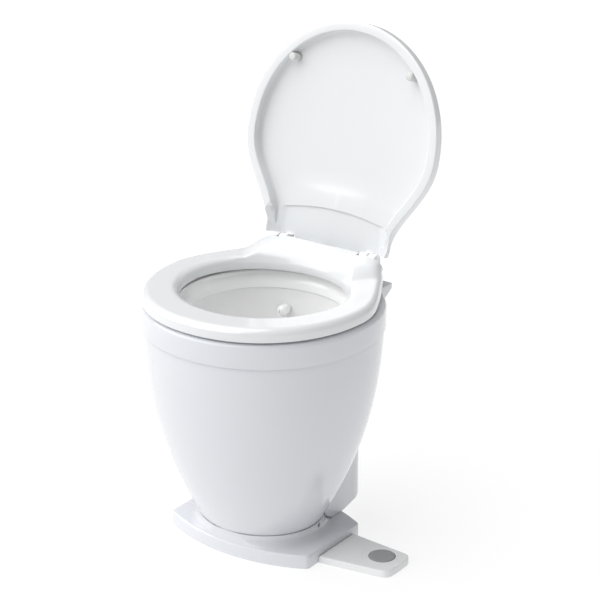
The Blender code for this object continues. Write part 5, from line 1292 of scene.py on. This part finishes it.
class TOILET_OT_hinge(bpy.types.Operator):
    """Build the hinge bracket, its pins and the two damper barrels"""
    bl_idname = "toilet.hinge"
    bl_label = "Hinge"

    def execute(self, context):
        low = band_top + touch_gap
        high = low + 0.0024
        foot, lug_radius, cradle_half, cradle_top = high - 0.0012, 0.007, 0.0062, 0.39975
        half, front_y, rear_y = 0.088, 0.1395, 0.1635
        bracket = shape("hinge_bracket_look", block((-half, front_y, low), (half, rear_y, high)))
        softened(bracket, 0.0009)
        outline = [(hinge_y - lug_radius, foot)]
        outline += [(hinge_y - y, z) for y, z in arc((0, hinge_z), lug_radius, 0, 180, 32)]
        outline += [(hinge_y + lug_radius, foot)]
        steps = []
        for side in sides.values():
            lug = prism(outline, *sorted((side * 0.050, side * 0.064)), "X")
            inner, outer = sorted((side * 0.018, side * 0.040))
            cradle = block((inner, hinge_y - cradle_half, foot), (outer, hinge_y + cradle_half, cradle_top))
            steps += [joined(softened(lug, 0.0006, 3, 60)), joined(cradle)]
        for side in sides.values():
            screw = (side * bracket_screw_x, bracket_screw_y, low - overrun)
            steps += [cut(hinge_rod(side, 0.010, 0.067, 0.0033, 32)),
                      cut(hinge_rod(side, 0.0097, 0.046, damper_radius + touch_gap, 48)),
                      cut(rod(screw, 0.03, 0.0024, steps=32))]
        dress(carve(bracket, steps, 30), "white_gloss", "frame", "hinge_bracket")
        pin_tip, pin_end = 0.0026, pin_length - 0.0004
        end, r, dip = damper_length, damper_radius, damper_radius - 0.0005
        profiles = {
            "hinge_pin_": ([(0, 0), (pin_tip, 0), (pin_radius, 0.0004), (pin_radius, pin_end),
                            (pin_tip, pin_length), (0, pin_length)], pin_start, 48, "steel"),
            "damper_": ([(0, 0), (0.0055, 0), (0.0062, 0.0003), (r, 0.001), (r, 0.006), (dip, 0.0064),
                         (dip, 0.0074), (r, 0.0078), (r, end - 0.001), (0.0062, end - 0.0003), (0.0055, end),
                         (0, end)], damper_start, 64, "white_gloss"),
        }
        for name, side in sides.items():
            for kind, (profile, start, count, finish) in profiles.items():
                made = turned(profile, (side * start, hinge_y, hinge_z), side_turn(side), count, closed=False)
                dress(shape(kind + name + "_look", made), finish, "frame", kind + name)
        return {"FINISHED"}


class TOILET_OT_pads(bpy.types.Operator):
    """Set the rubber pads under the seat and in the lid with Geometry Nodes"""
    bl_idname = "toilet.pads"
    bl_label = "Rubber pads"

    def execute(self, context):
        group = pad_tree()
        height, drop = 0.0024, 0.0022
        spots = [(side * x, y) for side in sides.values() for x, y in ((0.090, -0.112), (0.130, 0.050))]
        places = [((x, y, seat_bottom - touch_gap - height), (0, 0, 1)) for x, y in spots]
        pads = set_on_points("seat_pads", places, group, "rubber_clear",
                             {"Radius": 0.008, "Height": height, "Edge": 0.0008})
        dress(pads, "rubber_clear", "seat", "seat_bumper_front_left", "seat_bumper_front_right",
              "seat_bumper_rear_left", "seat_bumper_rear_right")
        turn, low = opening(), lid_lip_bottom - drop
        axis = turn.to_3x3() @ Vector((0, 0, 1))
        spots = lid_pad_places()
        places = [(turn @ Vector((x, y, low)), axis) for x, y, _ in spots]
        pads = set_on_points("lid_pads", places, group, "rubber_clear",
                             {"Radius": 0.006, "Height": spots[0][2] + 0.0012 - low, "Edge": 0.0022})
        dress(pads, "rubber_clear", "lid", "lid_bumper_left", "lid_bumper_right")
        return {"FINISHED"}


class TOILET_OT_screws(bpy.types.Operator):
    """Set the screws of the plinth, housing and hinge with Geometry Nodes"""
    bl_idname = "toilet.screws"
    bl_label = "Screws"

    def execute(self, context):
        group = screw_tree()
        up = (0, 0, 1)
        locks, housing, bracket = [], [], []
        for side in sides.values():
            locks.append(((side * (lock_face + touch_gap), 0, lock_z), (side, 0, 0)))
            housing.append(((side * housing_screw_x, housing_screw_y, base_height + 0.0036), up))
            bracket.append(((side * bracket_screw_x, bracket_screw_y, band_top + 0.003), up))
        for name, places, head, height, shank, length in (
                ("lock_screw", locks, 0.0030, 0.0016, lock_shank_radius, lock_shank_length),
                ("housing_screw", housing, 0.0040, 0.0020, 0.0018, 0.008),
                ("bracket_screw", bracket, 0.0042, 0.0020, 0.0020, 0.0154)):
            made = set_on_points(name + "s_look", places, group, "steel", {
                "Head radius": head, "Head height": height, "Shank radius": shank, "Shank length": length,
                "Recess width": head * 0.26, "Recess depth": height * 0.9})
            dress(made, "steel", "frame", name + "_left", name + "_right")
        return {"FINISHED"}


# Rear housing, foot switch and fittings


def housing_outline(inset, front=0.030):
    half, rear, corner = housing_high.x - inset, housing_high.y - inset, 0.042 - inset
    points = [(-half, front), (half, front)]
    points += arc((half - corner, rear - corner), corner, 0, 90, 28)
    return points + arc((corner - half, rear - corner), corner, 90, 180, 28)


def sole_wedge(raise_by):
    """What is cut away under the housing's sole, which is level over the base plate and then climbs."""
    start, level_y, rear_y = base_height + touch_gap + raise_by, 0.080, 0.162
    slope = (0.036 - base_height) / (0.150 - level_y)
    outline = [(-overrun, start), (level_y, start), (rear_y, start + slope * (rear_y - level_y)),
               (rear_y, -overrun), (-overrun, -overrun)]
    return prism(outline, -0.2, 0.2, "X")


def bowl_room():
    """The space of the plinth and the bowl's shell, with a running gap."""
    gap = running_gap
    rings = [foot_ring(plinth_spread + gap, 0), foot_ring(plinth_spread + gap, base_height + gap)]
    for spread, rise in ((0.5, 0.28), (0.2, 0.62), (0.1, 1.0)):
        rings.append(foot_ring(plinth_spread * spread + gap, base_height + plinth_height * rise + gap))
    return loft(rings + [skirt_ring(foot_z + (skirt_top - foot_z) * k / 40, -gap) for k in range(1, 41)])


class TOILET_OT_housing(bpy.types.Operator):
    """Build the rear cover with its soft top edge, sloping sole and holes"""
    bl_idname = "toilet.housing"
    bl_label = "Rear housing"

    def execute(self, context):
        top, soft, wall = housing_high.z, 0.006, 0.003
        rings = [lift(housing_outline(0.0), base_height / 2), lift(housing_outline(0.0), top - soft)]
        housing = shape("rear_housing_look", loft(rings + domed(housing_outline, top, soft, 10)), 40)
        hollow = shape("hollow", prism(housing_outline(wall, 0.0), base_height / 2, top - wall))
        steps = [cut(sole_wedge(0.0)), cut(carve(hollow, [cut(sole_wedge(wall))])), cut(bowl_room())]
        for (x, z), radius in (((0.0, 0.158), 0.0065), (hose_tail_at, 0.0115), (gland_at, 0.008)):
            steps.append(cut(rod((x, 0.108, z), 0.054, radius + running_gap, along_y, 48)))
        for side in sides.values():
            spot = (side * housing_screw_x, housing_screw_y, base_height - 0.006)
            steps.append(cut(rod(spot, 0.012, 0.0022, steps=24)))
        dress(carve(housing, steps, 36), "white_gloss", "frame", "rear_housing")
        return {"FINISHED"}


def pedal_outline(inset=0.0):
    root, nose = base_high.x + root_gap + inset, 0.236 - inset
    points = [(root, -0.0445 + inset), (nose, -0.0265 + inset), (nose + 0.0015, 0.005),
              (nose, 0.0365 - inset), (root, 0.044 - inset)]
    return rounded(points, 0.014 - inset, 16, sharp=(0, 4))


class TOILET_OT_switch(bpy.types.Operator):
    """Build the foot switch: satin shell with two faint rings, floor, and its round button"""
    bl_idname = "toilet.switch"
    bl_label = "Foot switch"

    def execute(self, context):
        top, soft, wall = pedal_top, 0.0020, 0.0022
        x, y, _ = (button_low + button_high) / 2
        rings = [lift(pedal_outline(root_gap), 0), lift(pedal_outline(), 0.0006)]
        rings += [lift(pedal_outline(), top - soft)] + domed(pedal_outline, top, soft, 8)
        shell = shape("switch_housing_look", loft(rings + [lift(pedal_outline(soft * 1.4), top)]), 40)
        steps = [cut(prism(pedal_outline(wall), -overrun, top - wall)),
                 cut(rod((x, y, 0), 0.03, 0.020, steps=128))]
        for radius in (0.0240, 0.0290):
            groove = [(radius, -0.00035), (radius + 0.0004, 0.0004), (radius - 0.0004, 0.0004)]
            steps.append(cut(turned(groove, (x, y, top), steps=160)))
        tongue_end, tongue_half = base_high.x + root_gap - 0.010, 0.018
        tongue = block((tongue_end, -tongue_half, 0.005), (base_high.x + 0.0017, tongue_half, 0.009))
        steps.append(joined(tongue))
        dress(carve(shell, steps, 32), "pedal_white", "frame", "switch_housing")
        floor = shape("switch_floor_look", prism(pedal_outline(wall + touch_gap), 0, 0.0018))
        dress(softened(floor, 0.0003, 2), "pedal_white", "frame", "switch_floor")
        high, radius, shoulder = button_high.z, 0.0195, top - wall - touch_gap
        flange, flange_low = radius + 0.0018, shoulder - 0.0018
        profile = [(0, high - 0.0005), (radius * 0.35, high - 0.00042), (radius * 0.7, high - 0.00015),
                   (radius - 0.0022, high), (radius - 0.0011, high - 0.0002),
                   (radius - 0.0003, high - 0.0009), (radius, high - 0.0018), (radius, shoulder),
                   (flange, shoulder), (flange, flange_low), (0, flange_low)]
        button = shape("foot_button_look", turned(profile, (x, y, 0), steps=128, closed=False), 40)
        dress(button, "button_grey", "button", "foot_button")
        return {"FINISHED"}


def nozzle_profile(length):
    head, radius, shank, bore = 0.016, 0.0085, 0.0055, 0.0035
    nose, jet, soft = 0.0024, 0.0011, 0.0006
    profile = [(jet, 0.0002), (jet, 0.004), (bore, 0.007), (bore, length), (shank, length), (shank, head),
               (radius - soft, head), (radius, head - soft)]
    return profile + [(nose + (radius - nose) * (1 - gone), head / 2 * left) for gone, left in quarter(10)]


def hose_tail_profile(length, flange):
    """A bored tail with three barbs and a bead behind its flange."""
    outer, bore, pitch, soft = 0.0115, 0.0085, 0.008, 0.0005
    root, nick, rim = outer - 0.0018, outer - 0.0002, 0.003
    profile = [(bore, 0), (bore, length - soft), (bore + soft, length), (root, length)]
    for k in range(1, 4):
        barb = length - pitch * k
        profile += [(nick, barb + 0.0005), (outer, barb + 0.0002), (nick, barb), (root, barb)]
    bead = length - pitch * 3
    return profile + [(root, bead - 0.0035), (outer - soft, bead - 0.0040), (outer, bead - 0.0045),
                      (outer, rim), (flange, rim), (flange, 0)]


def gland_profile(length, shank, nut):
    bore, tip, thread = 0.0035, 0.0060, 0.008
    return [(bore, 0), (bore, length - 0.0006), (bore + 0.0006, length), (tip - 0.0006, length),
            (tip, length - 0.0006), (tip + 0.0006, shank + 0.0095), (nut - 0.0012, shank + 0.0062),
            (nut, shank + 0.005), (nut, shank + 0.0004), (nut - 0.0004, shank), (thread, shank), (thread, 0)]


def clamp_profile(width):
    inner, outer, soft, chamfer = 0.0158, 0.0158 + 0.0012, 0.0004, 0.0003
    return [(inner, soft), (inner, width - soft), (inner + chamfer, width), (outer - chamfer, width),
            (outer, width - soft), (outer, soft), (outer - chamfer, 0), (inner + chamfer, 0)]


class TOILET_OT_fittings(bpy.types.Operator):
    """Turn the smooth nozzle, hose tail, gland and clamp"""
    bl_idname = "toilet.fittings"
    bl_label = "Fittings"

    def execute(self, context):
        def fitting(name, profile, low, place, steps, smooth):
            return shape(name, turned(profile, (place[0], low.y, place[1]), along_y, steps), smooth)

        profile = nozzle_profile(nozzle_high.y - nozzle_low.y)
        nozzle = fitting("rinse_nozzle_look", profile, nozzle_low, nozzle_at, 64, 35)
        dress(nozzle, "basin_white", "frame", "rinse_nozzle")
        low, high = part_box("hose_tail")
        profile = hose_tail_profile(high.y - low.y, (high.x - low.x) / 2)
        tail = fitting("hose_tail_look", profile, low, hose_tail_at, 72, 30)
        dress(tail, "grey_plastic", "frame", "hose_tail")
        low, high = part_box("cable_gland")
        length, nut, flute_out, flute_radius, count = high.y - low.y, 0.0105, 0.0112, 0.0013, 12
        shank = length - 0.014
        gland = fitting("cable_gland_look", gland_profile(length, shank, nut), low, gland_at, 64, 30)
        flutes = []
        for k in range(count):
            angle = 2 * pi * k / count
            x, z = gland_at[0] + flute_out * cos(angle), gland_at[1] + flute_out * sin(angle)
            flutes.append(cut(rod((x, low.y + shank - 0.002, z), 0.0075, flute_radius, along_y, 16)))
        dress(carve(gland, flutes, 30), "black_plastic", "frame", "cable_gland")
        low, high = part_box("joint_clamp")
        clamp = fitting("joint_clamp_look", clamp_profile(high.y - low.y), low, hose_tail_at, 72, 30)
        dress(clamp, "steel", "frame", "joint_clamp")
        return {"FINISHED"}


class TOILET_OT_inner_parts(bpy.types.Operator):
    """Give the pump, motor, valve and other inner parts the finish of their slot in the record"""
    bl_idname = "toilet.inner_parts"
    bl_label = "Inner parts"

    def execute(self, context):
        for part in frame["record"]["subparts"]:
            node = frame["nodes"][part["node"]]
            node.data.materials.clear()
            node.data.materials.append(finishes[part["material_slot"]])
        return {"FINISHED"}


# Stage


class TOILET_OT_stage(bpy.types.Operator):
    """Lay the floor, set the broad key light and a white background, and place the camera"""
    bl_idname = "toilet.stage"
    bl_label = "Studio"

    def execute(self, context):
        light = settings().stage
        floor_half, key_way = 40, (-0.8, -0.64, 1.35)
        floor = shape("studio_floor", block((-floor_half, -floor_half, -0.02), (floor_half, floor_half, 0)))
        floor.data.materials.append(floor_paper("floor_paper", light.floor, light.glow))
        lamp = bpy.data.lights.new("key_light", "SUN")
        lamp.energy = light.key
        lamp.angle = light.spread
        key = bpy.data.objects.new("key_light", lamp)
        looks.objects.link(key)
        key.rotation_euler = Vector(key_way).to_track_quat("Z", "Y").to_euler()
        world = bpy.data.worlds.new("studio_white")
        world.use_nodes = True
        back = world.node_tree.nodes["Background"]
        back.inputs["Color"].default_value = (1, 1, 1, 1)
        back.inputs["Strength"].default_value = light.sky
        context.scene.world = world
        context.scene.view_settings.view_transform = "Standard"
        camera = bpy.data.cameras.new("photo_camera")
        camera.lens = 120
        camera.sensor_width = 36
        holder = bpy.data.objects.new("photo_camera", camera)
        looks.objects.link(holder)
        turn, tilt, scale = radians(35.788), radians(20.976), 350 / 355
        aside, height, distance = 0.051 * scale, 0.373 * scale, 2.927 * scale
        c, s = cos(turn), sin(turn)
        back_way = Vector((s * cos(tilt), -c * cos(tilt), sin(tilt)))
        holder.location = Vector((c * aside, s * aside, height)) + back_way * distance
        holder.rotation_euler = back_way.to_track_quat("Z", "Y").to_euler()
        context.scene.camera = holder
        return {"FINISHED"}


operators = (TOILET_OT_base, TOILET_OT_skirt, TOILET_OT_band, TOILET_OT_basin, TOILET_OT_seat, TOILET_OT_lid,
             TOILET_OT_hinge, TOILET_OT_pads, TOILET_OT_screws, TOILET_OT_housing, TOILET_OT_switch,
             TOILET_OT_fittings, TOILET_OT_inner_parts, TOILET_OT_stage)


class TOILET_PT_panel(bpy.types.Panel):
    """Sidebar panel with the settings and one button for each piece."""
    bl_idname = "TOILET_PT_panel"
    bl_label = "Electric toilet"
    bl_space_type = "VIEW_3D"
    bl_region_type = "UI"
    bl_category = "Toilet"

    def draw(self, context):
        layout = self.layout
        made = context.scene.toilet_looks
        for group in (made.shell, made.detail, made.colours, made.stage):
            box = layout.box()
            for name in group.__annotations__:
                box.prop(group, name)
        for operator in operators:
            layout.operator(operator.bl_idname)


classes = (FinishColours, ShapeDetail, ShellShape, StageLight, ToiletLooks) + operators + (TOILET_PT_panel,)


def register():
    for item in classes:
        bpy.utils.register_class(item)
    bpy.types.Scene.toilet_looks = PointerProperty(type=ToiletLooks)


def unregister():
    del bpy.types.Scene.toilet_looks
    for item in reversed(classes):
        bpy.utils.unregister_class(item)


def main():
    register()
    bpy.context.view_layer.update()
    make_finishes()
    for operator in operators:
        group, name = operator.bl_idname.split(".")
        getattr(getattr(bpy.ops, group), name)()


if __name__ == "__main__":
    main()
